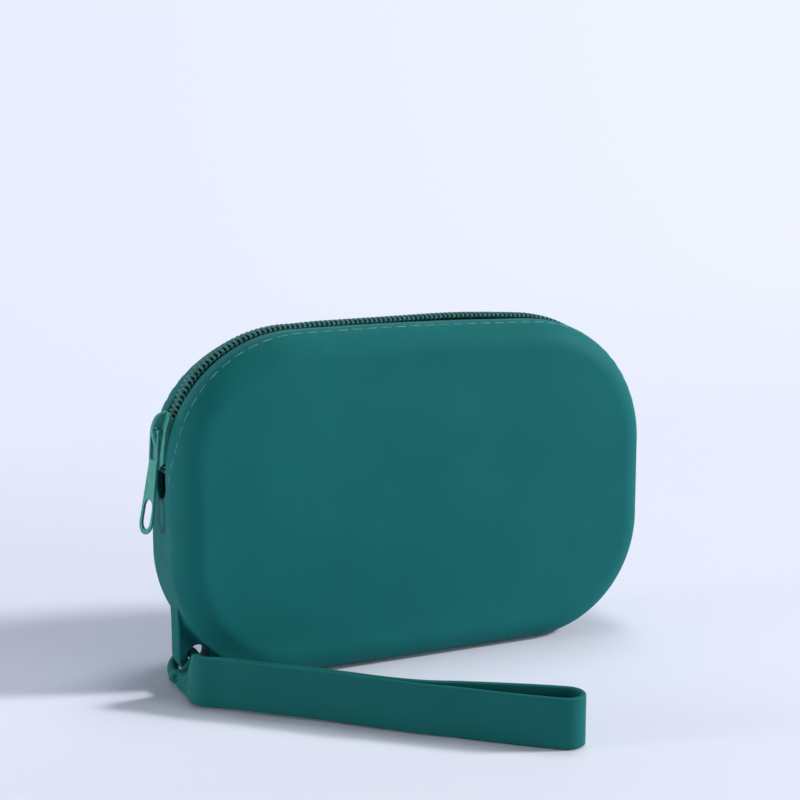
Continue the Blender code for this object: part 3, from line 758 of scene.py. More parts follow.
def build_lug(materials):
    start, end = LUG_TURNS
    work = bmesh.new()
    sweep(work, [lug_ring(start + (end - start) * step / LUG_STEPS) for step in range(LUG_STEPS + 1)])
    lug = finish_mesh("pouch_lug", work, materials["silicone"])
    cutter = spool_cutter()
    cut = lug.modifiers.new("Hole", "BOOLEAN")
    cut.object = cutter
    cut.operation = "DIFFERENCE"
    cut.solver = "EXACT"
    apply_modifiers(lug)
    bpy.data.objects.remove(cutter, do_unlink=True)
    lug.data.shade_smooth()
    lug.data.set_sharp_from_angle(angle=SHARP_EDGE)
    return lug


# Zip

def zip_lift(station):
    """How far the zip arches out of the slit: least at its ends, most along the top edge."""
    x, z = station[0], station[1]
    base = TAPE_LIFT * rise_between(z, TAPE_SUNK_HEIGHT, TAPE_RISEN_HEIGHT)
    corner = CORNER_ARCH * rise_between(z, *CORNER_ARCH_Z)
    top = TOP_ARCH * rise_between(x, *TOP_ARCH_START_X) * (1 - rise_between(x, *TOP_ARCH_END_X))
    hump = HUMP * math.exp(-((x - HUMP_X) / HUMP_SPREAD) ** 2)
    return base + corner + top + hump * rise_between(z, *HUMP_Z)


def tape_points():
    """Distance across, depth and share of the zip's lift, from the tape's inner edge to its hem."""
    radius = FACE_FILLET - TAPE_DEPTH
    end = SEAM_TURN + TAPE_HEM / radius
    crest = [TAPE_INNER_EDGE + (TAPE_CREST_EDGE - TAPE_INNER_EDGE) * step / 5 for step in range(6)]
    section = [(across, TAPE_DEPTH, 1.0) for across in crest]
    for step in (1, 2, 3):
        across = TAPE_CREST_EDGE + (TAPE_SLOPE_END - TAPE_CREST_EDGE) * step / 3
        section.append((across, TAPE_DEPTH, 1 - smooth_step(step / 3)))
    bent = [fillet_place(radius, end * step / 5) for step in range(6)]
    section.append((HALF_FLAT - TAPE_FLAT_MARGIN, TAPE_DEPTH, 0.0))
    return section + [(across, depth, 0.0) for across, depth in bent]


def tape_ring(station, side, section):
    """Points round the tape's section at a station, each with its distance across."""
    lift = zip_lift(station)
    heights = [(a, d - lift * share + (1 - share) * lip_dip(station, side, a)) for a, d, share in section]
    outer = [(inside(station, side * a, d), a) for a, d in heights]
    inner = [(inside(station, side * a, d + TAPE_THICKNESS), a) for a, d in reversed(heights)]
    return outer + inner


def build_tape(name, side, materials):
    """Knitted tape as a thin closed strip with a UV map in metres."""
    stations = upper_stations(TAPE_STEP, TAPE_END_HEIGHT)
    section = tape_points()
    work = bmesh.new()
    uv = work.loops.layers.uv.new("metres")
    rows = []
    for station, along in zip(stations, run_lengths(stations)):
        ring = tape_ring(station, side, section)
        rows.append([(work.verts.new(point), (along, across)) for point, across in ring])
    for near, far in zip(rows[:-1], rows[1:]):
        for spot in range(len(near)):
            after = (spot + 1) % len(near)
            corners = (near[spot], near[after], far[after], far[spot])
            face = work.faces.new([vertex for vertex, _ in corners])
            for loop, (_, place) in zip(face.loops, corners):
                loop[uv].uv = place
    for row in (rows[0], rows[-1]):
        work.faces.new([vertex for vertex, _ in row])
    tape = finish_mesh(name, work, materials["tape"], weld=1e-7)
    tape.data.set_sharp_from_angle(angle=TAPE_SHARP_EDGE)
    return tape


def slider_travel(station):
    """Length along the corner from the slider's middle towards the closed zip."""
    offset, height, _ = top_corner()
    x, z = station[0], station[1]
    if x > 0:
        return TOP_CORNER_RADIUS
    if z <= height:
        return z - height - TOP_CORNER_RADIUS * SLIDER_STATION
    return TOP_CORNER_RADIUS * (math.atan2(z - height, -offset - x) - SLIDER_STATION)


def coil_spread(station):
    """How far each coil is pushed from the middle plane below the slider's divider."""
    return COIL_SPREAD * smooth_step((-slider_travel(station) - SPREAD_START) / SPREAD_LENGTH)


# One tooth of the coil: share of the pitch, distance across, height over the tape, wire size
TOOTH = (
    (0.00, 0.00300, 0.00108, 1.00),
    (0.03, 0.00220, 0.00128, 1.00),
    (0.04, 0.00120, 0.00134, 1.02),
    (0.05, 0.00035, 0.00132, 1.15),
    (0.06, -0.00030, 0.00116, 1.30),
    (0.08, -0.00052, 0.00085, 1.38),
    (0.10, -0.00030, 0.00054, 1.30),
    (0.12, 0.00035, 0.00040, 1.10),
    (0.20, 0.00130, 0.00038, 1.00),
    (0.38, 0.00240, 0.00038, 1.00),
    (0.56, 0.00305, 0.00046, 1.00),
    (0.74, 0.00326, 0.00072, 1.00),
    (0.90, 0.00318, 0.00096, 1.00),
)


def station_at(stations, lengths, along):
    """The station a length along the outline, between the given ones."""
    along = min(max(along, 0.0), lengths[-1])
    index = min(bisect.bisect_right(lengths, along) - 1, len(lengths) - 2)
    share = (along - lengths[index]) / (lengths[index + 1] - lengths[index])
    near, far = stations[index], stations[index + 1]
    x, z, way_x, way_z = (a + (b - a) * share for a, b in zip(near, far))
    size = math.hypot(way_x, way_z)
    return x, z, way_x / size, way_z / size


def build_coil(name, side, materials):
    """Wound nylon coil: each turn is one tooth, and the two sides' heads lie between each other."""
    stations = upper_stations(FINE_STEP, COIL_END_HEIGHT)
    lengths = run_lengths(stations)
    start = 0.0 if side > 0 else COIL_PITCH / 2
    turns = int((lengths[-1] - start) / COIL_PITCH)
    points, radii = [], []
    for turn in range(turns):
        for share, across, height, size in TOOTH:
            station = station_at(stations, lengths, start + (turn + share) * COIL_PITCH)
            shift = coil_spread(station)
            depth = TAPE_DEPTH - zip_lift(station) - COIL_SEAT - height
            points.append(inside(station, side * (across + shift), depth))
            radii.append(COIL_WIRE * size)
    work = bmesh.new()
    tube(work, points, radii, COIL_WIRE_SIDES)
    return finish_mesh(name, work, materials["coil"], weld=1e-7)


def seam_place(station, radius):
    """Where the seam lies on a layer of the shell; it curves in towards the slit at its ends."""
    inset = SEAM_END_INSET * (1 - rise_between(station[1], SEAM_END_LOW, SEAM_END_HIGH))
    across = SEAM_ACROSS - inset
    if across < HALF_FLAT:
        return across, FACE_FILLET - radius
    return fillet_place(radius, math.asin((across - HALF_FLAT) / FACE_FILLET))


def add_stitch(work, stations, lengths, middle, side, radius, lift):
    """One short stitch that dips into the skin at both ends."""
    points, radii = [], []
    for step in range(9):
        share = step / 8
        station = station_at(stations, lengths, middle + (share - 0.5) * STITCH_LENGTH)
        rise = lift * (1 - (2 * share - 1) ** 4) - STITCH_DIP * (2 * share - 1) ** 6
        across, depth = seam_place(station, radius + rise)
        points.append(on_shell(station, side, across + STITCH_SLANT * (share - 0.5), depth))
        swell = (1 - THREAD_END_SHARE) * math.sin(math.pi * share)
        radii.append(THREAD_RADIUS * (THREAD_END_SHARE + swell))
    tube(work, points, radii, THREAD_SIDES)


def build_stitches(name, side, inner, materials):
    stations = upper_stations(FINE_STEP, STITCH_END_HEIGHT)
    lengths = run_lengths(stations)
    upper = run_lengths(upper_stations(STITCH_PITCH / STATIONS_PER_STITCH))[-1]
    centre = lengths[-1] / 2
    radius = FACE_FILLET - TAPE_DEPTH - TAPE_THICKNESS if inner else FACE_FILLET
    lift = BOBBIN_LIFT if inner else NEEDLE_LIFT
    work = bmesh.new()
    count = int(upper / STITCH_PITCH / 2)
    for index in range(-count, count):
        add_stitch(work, stations, lengths, centre + (index + 0.5) * STITCH_PITCH, side, radius, lift)
    return finish_mesh(name, work, materials["thread"], weld=1e-7)


# Slider, and the bar that the pull tab hangs by

SLIDER_LENGTH = 0.0150
CROWN_HALF_WIDTH = 0.0043
TAIL_HALF_WIDTH = 0.00345
COIL_TOP = COIL_SEAT + COIL_HEIGHT + TAPE_LIFT - TAPE_DEPTH
PLATE_UNDER = COIL_TOP + 0.0003
CROWN_PLATE = 0.0005
TAIL_PLATE = 0.0012
PLATE_CAMBER = 0.00045
PLATE_CORNER = 0.0016
PLATE_COLUMNS = 30
PLATE_ROWS = 24
NOTCH_WIDTH = 0.0008
CROWN_NOTCHES = (0.0006, 0.0003)
LOWER_NOTCHES = (0.0010, 0.0004)
LOWER_PLATE_HIGH = TAPE_LIFT - TAPE_DEPTH - TAPE_THICKNESS - 0.0003
LOWER_PLATE = 0.0010
LOWER_INSET = 0.0011
FLANGE_LOW = TAPE_LIFT - TAPE_DEPTH + 0.0003
FLANGE_WIDTH = 0.0007
FLANGE_SETBACK = 0.0009
FLANGE_PROUD = 0.00006
FLANGE_CHAMFER = 0.0002
FLANGE_OVERLAP = 0.0001
DIVIDER_ENDS = (-0.0062, -0.0027)
DIVIDER_HALF_WIDTH = 0.0006
DIVIDER_SINKS = (0.0005, 0.0003)
PULL_PIVOT_OFFSET = 0.0018
PULL_BAR_RADIUS = 0.0004
PULL_PLAY = 0.0011
BRIDGE_WIDTH = 0.0021
BAR_CORNER_SHARE = 0.7
# Length along the slider and height over the pouch's outline of the hood's top, from its foot to its tail
HOOD_TOP = (
    (-0.0029, 0.0009),
    (-0.0025, 0.0020),
    (-0.0008, 0.0029),
    (0.0008, 0.0037),
    (0.0020, 0.0041),
    (0.0035, 0.0042),
    (0.0050, 0.0040),
    (0.0061, 0.0034),
    (0.0069, 0.0025),
    (0.0073, 0.0017),
)
BAR_ROOM = 0.0005
HOOD_SINK = 0.0003
BEAM_OVERLAP = 0.0010
SILL_OVERLAP = 0.0006
VOXEL = 0.00011
SOFTEN_ROUNDS = 3
KEPT_FACES = 0.4


def slider_half_width(x):
    share = smooth_step((x + SLIDER_LENGTH / 4) / (SLIDER_LENGTH / 2))
    return CROWN_HALF_WIDTH + (TAIL_HALF_WIDTH - CROWN_HALF_WIDTH) * share


def plate_top(x):
    """Height of the outer plate's top over the pouch's outline; the plate thickens towards its tail."""
    return PLATE_UNDER + CROWN_PLATE + (TAIL_PLATE - CROWN_PLATE) * (x / SLIDER_LENGTH + 0.5)


def bend_to_corner(x, y, height):
    """From the slider's flat layout to its arc; height is over the pouch's outline."""
    turn = x / TOP_CORNER_RADIUS
    radius = TOP_CORNER_RADIUS + height
    return Vector((radius * math.sin(turn), y, radius * math.cos(turn)))


def slider_place():
    offset, height, _ = top_corner()
    turn = Matrix.Rotation(SLIDER_STATION - math.pi / 2, 4, "Y")
    return Matrix.Translation((-offset, 0.0, height)) @ turn


def plate_end(y, half_width, notch):
    """How far a plate's end is drawn in at a distance across: round corners and a shallow notch."""
    past = max(abs(y) - (half_width - PLATE_CORNER), 0.0)
    drawn = PLATE_CORNER - math.sqrt(max(PLATE_CORNER ** 2 - past ** 2, 0.0))
    return drawn + notch * math.exp(-(y / NOTCH_WIDTH) ** 2)


def plate_rows(level_at, shrink, notches):
    """Points of one side of a plate, whose height comes from the length along it and the share across."""
    half = SLIDER_LENGTH / 2 - shrink / 3
    rows = []
    for column in range(PLATE_COLUMNS + 1):
        guess = slider_half_width(half * (2 * column / PLATE_COLUMNS - 1)) - shrink
        row = []
        for step in range(PLATE_ROWS + 1):
            side = 2 * step / PLATE_ROWS - 1
            y = side * guess
            start = plate_end(y, guess, notches[0]) - half
            end = half - plate_end(y, guess, notches[1])
            x = start + (end - start) * column / PLATE_COLUMNS
            row.append(bend_to_corner(x, y, level_at(x, side)))
        rows.append(row)
    return rows


def plate_rim(rows):
    """The edge of a plate's rows as one closed run."""
    far_side = [row[-1] for row in rows[1:]]
    near_side = [row[0] for row in rows[-2::-1]]
    return rows[0] + far_side + rows[-1][-2::-1] + near_side


def add_plate(work, top_at, low_at, shrink, notches):
    """A plate bent to the corner, with rounded corners and notched ends."""
    top = plate_rows(top_at, shrink, notches)
    bottom = plate_rows(low_at, shrink, notches)
    add_grid(work, top)
    add_grid(work, bottom)
    add_grid(work, [plate_rim(top), plate_rim(bottom)])


def add_bar(work, points, half_width):
    """A strip of the slider between two lines of (x, low, high), with rounded edges."""
    rings = []
    for x, low, high in points:
        corner = min(half_width * BAR_CORNER_SHARE, (high - low) / 2)
        ring = []
        for y_way, z_way, start in ((1, 1, 0), (-1, 1, 90), (-1, -1, 180), (1, -1, 270)):
            for step in range(5):
                angle = math.radians(start + 22.5 * step)
                y = y_way * (half_width - corner) + corner * math.cos(angle)
                middle = high - corner if z_way > 0 else low + corner
                ring.append(bend_to_corner(x, y, middle + corner * math.sin(angle)))
        rings.append(ring)
    sweep(work, rings)


def add_flange(work, side):
    """Side wall turned down from the outer plate, standing a little proud of it."""
    top = PLATE_UNDER + FLANGE_OVERLAP
    rings = []
    for step in range(19):
        x = (SLIDER_LENGTH / 2 - FLANGE_SETBACK) * (step / 9 - 1)
        edge = slider_half_width(x) + FLANGE_PROUD
        inner, near = edge - FLANGE_WIDTH, edge - FLANGE_CHAMFER
        ring = [(near, top), (edge, PLATE_UNDER - FLANGE_CHAMFER), (edge, FLANGE_LOW + FLANGE_CHAMFER),
                (near, FLANGE_LOW), (inner, FLANGE_LOW), (inner, top)]
        rings.append([bend_to_corner(x, side * y, height) for y, height in ring])
    sweep(work, rings)


def bar_height():
    """Height of the pull tab's bar over the pouch's outline."""
    return plate_top(PULL_PIVOT_OFFSET) + PULL_BAR_RADIUS + PULL_PLAY


def hood_bars():
    """Lines (x, low, high) of the hood: foot, beam over the bar, tail, and the sill under the bar."""
    foot, beam, tail = [], [], []
    window_start, window_end = PULL_PIVOT_OFFSET - BAR_ROOM, PULL_PIVOT_OFFSET + BAR_ROOM
    for point in smooth_points([Vector((x, 0.0, height)) for x, height in HOOD_TOP], 3):
        x, high = point.x, point.z
        low = plate_top(x) - HOOD_SINK
        if x <= window_start:
            foot.append((x, low, high))
        if x >= window_end:
            tail.append((x, low, high))
        if window_start - BEAM_OVERLAP <= x <= window_end + BEAM_OVERLAP:
            beam.append((x, bar_height() + BAR_ROOM, high))
    sill_ends = (window_start - SILL_OVERLAP, window_end + SILL_OVERLAP)
    sill = [(x, plate_top(x) - HOOD_SINK, bar_height() - BAR_ROOM) for x in sill_ends]
    return foot, beam, tail, sill


def fuse_parts(item):
    """Fuses an object's overlapping parts and softens their joins, as in a casting."""
    fuse = item.modifiers.new("Fuse", "REMESH")
    fuse.mode = "VOXEL"
    fuse.voxel_size = VOXEL
    soften = item.modifiers.new("Soften", "SMOOTH")
    soften.iterations = SOFTEN_ROUNDS
    soften.factor = 0.5
    thin = item.modifiers.new("Thin", "DECIMATE")
    thin.ratio = KEPT_FACES
    apply_modifiers(item)
    item.data.shade_smooth()


def crown_top(x, side):
    """Height of the outer plate's cambered top."""
    return plate_top(x) - PLATE_CAMBER * side ** 4


def flat_at(height):
    """A plate's side that has the same height all over."""
    return lambda x, side: height


def build_slider(materials):
    """Cast slider: two plates, flanges, divider and a hood over the pull tab's bar."""
    work = bmesh.new()
    add_plate(work, crown_top, flat_at(PLATE_UNDER), 0.0, CROWN_NOTCHES)
    lower_under = LOWER_PLATE_HIGH - LOWER_PLATE
    add_plate(work, flat_at(LOWER_PLATE_HIGH), flat_at(lower_under), LOWER_INSET, LOWER_NOTCHES)
    for side in (-1, 1):
        add_flange(work, side)
    low, high = LOWER_PLATE_HIGH - DIVIDER_SINKS[0], PLATE_UNDER + DIVIDER_SINKS[1]
    add_bar(work, [(x, low, high) for x in DIVIDER_ENDS], DIVIDER_HALF_WIDTH)
    for line in hood_bars():
        add_bar(work, line, BRIDGE_WIDTH / 2)
    bmesh.ops.transform(work, matrix=slider_place(), verts=work.verts)
    slider = finish_mesh("zip_slider", work, materials["metal"], weld=1e-7)
    fuse_parts(slider)
    return slider


# Pull tab

PULL_LENGTH = 0.0292
PULL_TOP_WIDTH = 0.0049
PULL_WAIST_WIDTH = 0.0045
PULL_END_WIDTH = 0.0071
PULL_EYE_WIDTH = 0.0033
PULL_EYE_LENGTH = 0.0079
PULL_HOLE_WIDTH = 0.0048
PULL_HOLE_LENGTH = 0.0083
PULL_HOLE_RIM = 0.0014
PULL_LEAN = 0.040
PULL_BEND = 3.1
PULL_TWIST_DEG = 12.0
PULL_CORNER = 0.0012
PULL_EYE_CORNER = 0.0008
PULL_EDGE_ROUND = 0.0002
WAIST_TAPER = 4


def arc_points(centre_x, centre_y, radius, start_deg, end_deg, steps):
    points = []
    for step in range(steps + 1):
        angle = math.radians(start_deg + (end_deg - start_deg) * step / steps)
        points.append((centre_x + radius * math.cos(angle), centre_y + radius * math.sin(angle)))
    return points


def rounded_box(low_x, low_y, high_x, high_y, radius):
    """A rectangle with rounded corners as a run of points."""
    left, right = low_x + radius, high_x - radius
    bottom, top = low_y + radius, high_y - radius
    points = []
    for turn, (x, y) in enumerate(((right, top), (left, top), (left, bottom), (right, bottom))):
        points += arc_points(x, y, radius, 90 * turn, 90 * turn + 90, 5)
    return points


def pull_outlines():
    """Outer edge, eye and end hole of the tab, hanging down from its bar."""
    tip_radius, tip_centre = PULL_END_WIDTH / 2, PULL_END_WIDTH / 2 - PULL_LENGTH
    half_top, half_waist = PULL_TOP_WIDTH / 2, PULL_WAIST_WIDTH / 2
    shoulder = -(PULL_BAR_RADIUS + PULL_EYE_LENGTH)
    waist = shoulder - (half_top - half_waist) * WAIST_TAPER
    top = PULL_BAR_RADIUS - PULL_CORNER
    outer = arc_points(0.0, tip_centre, tip_radius, 180, 360, 20)
    outer += [(half_waist, waist), (half_top, shoulder)]
    outer += arc_points(half_top - PULL_CORNER, top, PULL_CORNER, 0, 90, 5)
    outer += arc_points(-half_top + PULL_CORNER, top, PULL_CORNER, 90, 180, 5)
    outer += [(-half_top, shoulder), (-half_waist, waist)]
    eye_top, half_eye = -PULL_BAR_RADIUS, PULL_EYE_WIDTH / 2
    eye = rounded_box(-half_eye, eye_top - PULL_EYE_LENGTH, half_eye, eye_top, PULL_EYE_CORNER)
    centre = -(PULL_LENGTH - PULL_HOLE_RIM - PULL_HOLE_LENGTH / 2)
    reach = PULL_HOLE_LENGTH / 2 - PULL_HOLE_WIDTH / 2
    hole = arc_points(0.0, centre + reach, PULL_HOLE_WIDTH / 2, 0, 180, 12)
    hole += arc_points(0.0, centre - reach, PULL_HOLE_WIDTH / 2, 180, 360, 12)
    return [outer, eye, hole]


def flat_plate(name, outlines, thickness, edge, material):
    """Outlines filled and given a thickness with rounded edges."""
    curve = bpy.data.curves.new(name, "CURVE")
    curve.dimensions = "2D"
    curve.fill_mode = "BOTH"
    curve.extrude = thickness / 2 - edge
    curve.bevel_depth = edge
    curve.bevel_resolution = 3
    curve.offset = -edge
    for outline in outlines:
        spline = curve.splines.new("POLY")
        spline.points.add(len(outline) - 1)
        for target, (x, y) in zip(spline.points, outline):
            target.co = (x, y, 0.0, 1.0)
        spline.use_cyclic_u = True
    holder = link_item(name + "_curve", curve)
    work = bmesh.new()
    work.from_mesh(baked_mesh(holder))
    bpy.data.objects.remove(holder, do_unlink=True)
    item = finish_mesh(name, work, material, weld=1e-6)
    item.data.set_sharp_from_angle(angle=SHARP_EDGE)
    return item


def pull_pivot():
    return slider_place() @ bend_to_corner(PULL_PIVOT_OFFSET, 0.0, bar_height())


def build_pull(materials):
    thickness = 2 * PULL_BAR_RADIUS
    tab = flat_plate("pull_tab_piece", pull_outlines(), thickness, PULL_EDGE_ROUND, materials["metal"])
    for degrees, axis in ((90, "X"), (90, "Z"), (PULL_TWIST_DEG, "Z")):
        tab.data.transform(Matrix.Rotation(math.radians(degrees), 4, axis))
    for vertex in tab.data.vertices:
        drop = max(-vertex.co.z, 0.0)
        vertex.co.x -= PULL_LEAN * drop + PULL_BEND * drop ** 2
    tab.data.transform(Matrix.Translation(pull_pivot()))
    return tab


# Wrist strap

STRAP_WIDTH = 0.0133
STRAP_THICKNESS = 0.0015
STRAP_FLOOR_GAP = 0.0002
STRAP_LIFT = 0.0006
STRAP_LAYER_GAP = 0.0001
STRAP_LOOP_RADIUS = 0.00435
STRAP_PARTING = 0.0486
STRAP_REACH = 0.1060
HITCH_RADIUS = 0.0014
HITCH_SLOPE = math.radians(47)
FIT_GAP = 0.0003
NECK_START_WIDTH = 0.0042
NECK_LENGTH = 0.0095
STRAP_LOWERING = (0.28, 0.92)
STRAP_COURSE = (
    (-0.035, -0.070),
    (-0.033, -0.127),
    (0.018, -0.168),
    (0.097, -0.249),
    (0.177, -0.319),
    (0.253, -0.392),
    (0.320, -0.458),
    (0.399, -0.528),
    (0.479, -0.583),
    (0.575, -0.655),
    (0.678, -0.735),
)

# Course of the gathered band from the hole's centre: out in front, down to the ring, round the lug and back
HITCH_COURSE = (
    (-0.0006, 0.0, -0.0003),
    (-0.0012, -0.0044, -0.0005),
    (-0.0033, -0.0066, -0.0019),
    (-0.0062, -0.0074, -0.0041),
    (-0.0074, -0.0052, -0.0052),
    (-0.0066, -0.0022, -0.0054),
    (-0.0060, 0.0018, -0.0052),
    (-0.0046, 0.0050, -0.0040),
    (-0.0016, 0.0052, -0.0012),
)
RING_CENTRE = (-0.0066, -0.0078, -0.0042)
RING_WAY = (-0.60, -0.65, -0.46)
RING_RADIUS = 0.0019
RING_WIRE = 0.0010
GATHER_PLACE = (-0.0068, -0.0094, -0.0042)
GATHER_START = 0.0045
GATHER_LENGTH = 0.0085
HITCH_BULK = 1.2
HITCH_FOLD = 0.26
RING_FOLD = 0.2
FOLD_WIDTH = 0.35
FOLD_SIDES = 20
LUMPINESS = 0.03
PLEAT_DEPTH = 0.0003
PLEAT_LENGTH = NECK_LENGTH * 1.2
PLEATS = 2.5
BAND_EDGE_ROUND = 0.0005
LEAN = 0.10
LEAN_START = 0.006
LEAN_LENGTH = 0.022


def hole_point():
    hole_x, hole_z = lug_hole()
    return Vector((hole_x, 0.0, hole_z))


def cad_hitch_front():
    """The foremost point of the CAD's hitch, which the strap's hinge lies in front of."""
    span = LUG_HOLE_RADIUS + LUG_HOLE_RIM + FIT_GAP + HITCH_RADIUS
    outward = Vector((-math.cos(HITCH_SLOPE), 0.0, -math.sin(HITCH_SLOPE)))
    return hole_point() + outward * span / 2 - Vector((0.0, LUG_THICKNESS / 2 + span / 2, 0.0))


def neck_point():
    """The strap's hinge, as in the CAD."""
    front = cad_hitch_front()
    clear = HITCH_RADIUS + FIT_GAP + NECK_START_WIDTH / 2
    return Vector((front.x, front.y - clear, front.z))


def gather_point():
    """Where the band leaves the ring, gathered to its narrowest."""
    return hole_point() + Vector(GATHER_PLACE)


def folded_tube(work, course, radius, fold_depth):
    """A closed run of the gathered band, with a fold down its outer side."""
    centre = sum(course, Vector()) / len(course)
    rings = []
    for point, (_, side, rise) in zip(course, frames_along(course, True)):
        out = (point - centre).normalized()
        turn = math.atan2(out.dot(rise), out.dot(side))
        ring = []
        for step in range(FOLD_SIDES):
            angle = 2 * math.pi * step / FOLD_SIDES
            aside = math.remainder(angle - turn, 2 * math.pi)
            fold = 1 - fold_depth * math.exp(-(aside / FOLD_WIDTH) ** 2)
            size = radius * fold * (1 - LUMPINESS + LUMPINESS * math.cos(3 * angle))
            ring.append(point + side * size * math.cos(angle) + rise * size * math.sin(angle))
        rings.append(ring)
    sweep(work, rings, closed=True)


def build_hitch(materials):
    """The gathered band: one turn through the lug and the ring that it is drawn through."""
    work = bmesh.new()
    hole = hole_point()
    turn = smooth_points([hole + Vector(offset) for offset in HITCH_COURSE], 6, True)
    folded_tube(work, turn, HITCH_BULK * HITCH_RADIUS, HITCH_FOLD)
    way = Vector(RING_WAY).normalized()
    side = way.cross(Vector((0, 0, 1))).normalized()
    rise = side.cross(way)
    ring = round_ring(hole + Vector(RING_CENTRE), side, rise, RING_RADIUS, 28)
    folded_tube(work, ring, RING_WIRE, RING_FOLD)
    return finish_mesh("strap_hitch_turn", work, materials["strap"], weld=1e-7)


def strap_line():
    neck = neck_point().xy
    course = [neck + Vector(share) * STRAP_REACH for share in STRAP_COURSE]
    return smooth_points([gather_point().xy] + course, 6)


def strap_middle_height(point):
    start, end = STRAP_LOWERING
    share = (point - neck_point().xy).length / STRAP_REACH
    lift = STRAP_LIFT * (1 - smooth_step((share - start) / (end - start)))
    return STRAP_FLOOR_GAP + STRAP_WIDTH / 2 + lift


def strap_plan():
    """Middle line of the whole band in plan, from the hitch round the loop and back."""
    line = strap_line()
    centre = line[-1]
    closed = (STRAP_THICKNESS + STRAP_LAYER_GAP) / 2
    front, back = [], []
    for behind, point, ahead in zip([line[0]] + line[:-2], line[:-1], line[1:]):
        along = (ahead - behind).normalized()
        parted = smooth_step(1 - (centre - point).length / STRAP_PARTING)
        reach = Vector((-along.y, along.x)) * (closed + (STRAP_LOOP_RADIUS - closed) * parted)
        front.append(point - reach)
        back.append(point + reach)
    along = centre - line[-2]
    heading = math.degrees(math.atan2(along.y, along.x))
    turn = arc_points(centre.x, centre.y, STRAP_LOOP_RADIUS, heading - 90, heading + 90, 20)
    return front + [Vector(point) for point in turn] + back[::-1]


def band_section(half_width, pleat):
    """The band's flat section as offsets across and up: pleated faces and rounded edges."""
    half_thick, edge = STRAP_THICKNESS / 2, BAND_EDGE_ROUND
    edge_wave = pleat * math.cos(PLEATS * math.pi)
    section = []
    for sign, order in ((-1, 1), (1, -1)):
        for level in [step / 8 for step in range(-8, 9)][::order]:
            wave = pleat * math.cos(level * PLEATS * math.pi)
            section.append((sign * half_thick + wave, level * (half_width - edge)))
        cap = []
        for turn in (math.radians(30), math.radians(60), math.radians(90)):
            x = sign * (half_thick - edge + edge * math.cos(turn))
            cap.append((x, order * (half_width - edge + edge * math.sin(turn))))
        section += [(x + edge_wave, z) for x, z in cap]
        section += [(-x + edge_wave, z) for x, z in cap[-2::-1]]
    return section


def band_ring(point, along, neck):
    """The band's section at a point of its course, narrow and pleated where it nears the hitch."""
    distance = (point - neck.xy).length
    grown = smooth_step((distance - GATHER_START) / GATHER_LENGTH)
    aside = Vector((-along.y, along.x, 0.0))
    middle = neck.z + (strap_middle_height(point) - neck.z) * grown
    half_width = NECK_START_WIDTH / 2 + (STRAP_WIDTH / 2 - NECK_START_WIDTH / 2) * grown
    pleat = PLEAT_DEPTH * (1 - smooth_step(distance / PLEAT_LENGTH))
    lean = LEAN * (1 - smooth_step((distance - LEAN_START) / LEAN_LENGTH))
    centre = Vector((point.x, point.y, middle))
    section = band_section(half_width, pleat)
    return [centre + aside * (x + lean * z) + Vector((0.0, 0.0, z)) for x, z in section]


def build_strap(materials):
    plan = strap_plan()
    neck = gather_point()
    rings = []
    for index, point in enumerate(plan):
        ahead = plan[min(index + 1, len(plan) - 1)]
        behind = plan[max(index - 1, 0)]
        rings.append(band_ring(point, (ahead - behind).normalized(), neck))
    work = bmesh.new()
    sweep(work, rings)
    return finish_mesh("wrist_band", work, materials["strap"], weld=1e-7)


# Floor, backdrop, light and camera

WORLD_LIGHT = 0.075
WORLD_COLOUR = (0.86, 0.90, 1.0)
PAPER_COLOUR = (0.715, 0.745, 0.865)
PAPER_CLOUDS = (0.705, 0.735, 0.855), (0.725, 0.755, 0.875)
# Seen colours of the paper, dimmer at the left and paler at the right: the brightening to the right is
# painted light
SEEN_COLOURS_WITH_PAINTED_LIGHT = (0.795, 0.845, 1.0), (0.875, 0.91, 1.0)
# From the left to the right of the paper's painted light, which makes it paler towards the right, and from
# near to far of its fading in
PAINTED_LIGHT_SPAN_X = (-0.05, 1.30)
SEEN_FAR = (0.06, 0.42)
FLOOR_ROWS = (-1.6, -0.4, 0.3, 1.1)
SWEEP_RADIUS = 0.5
SWEEP_TOP = 2.2
SWEEP_HALF_WIDTH = 2.5
SENSOR_WIDTH = 36.0

# Name, place, target, width, height, power and colour
LIGHTS = (
    ("key_right", (3.19, -1.38, 2.03), (0, 0, 0.03), 0.55, 0.55, 150.0, (1.0, 0.99, 0.97)),
    ("front_fill", (0.85, -1.28, 0.35), (0, 0, 0.05), 0.8, 0.5, 9.2, (1.0, 0.99, 0.98)),
    ("top_soft", (0.25, 0.12, 1.10), (0, 0, 0.05), 0.4, 0.4, 3.9, (0.97, 0.99, 1.0)),
    ("side_left", (-0.90, 0.10, 0.10), (-0.07, 0, 0.05), 0.25, 0.30, 5.0, (0.95, 1.0, 0.96)),
    ("overhead_fill", (-0.35, -0.55, 1.20), (0, 0, 0.05), 1.1, 0.9, 1.2, (0.98, 0.99, 1.0)),
)


def seen_rays(tree):
    """1 for rays from the camera, a reflection or a clear material, and 0 for rays that light things."""
    rays = tree.nodes.new("ShaderNodeLightPath")
    seen = math_node(tree, "MAXIMUM", rays.outputs["Is Camera Ray"], rays.outputs["Is Glossy Ray"])
    return math_node(tree, "MAXIMUM", seen, rays.outputs["Is Transmission Ray"])


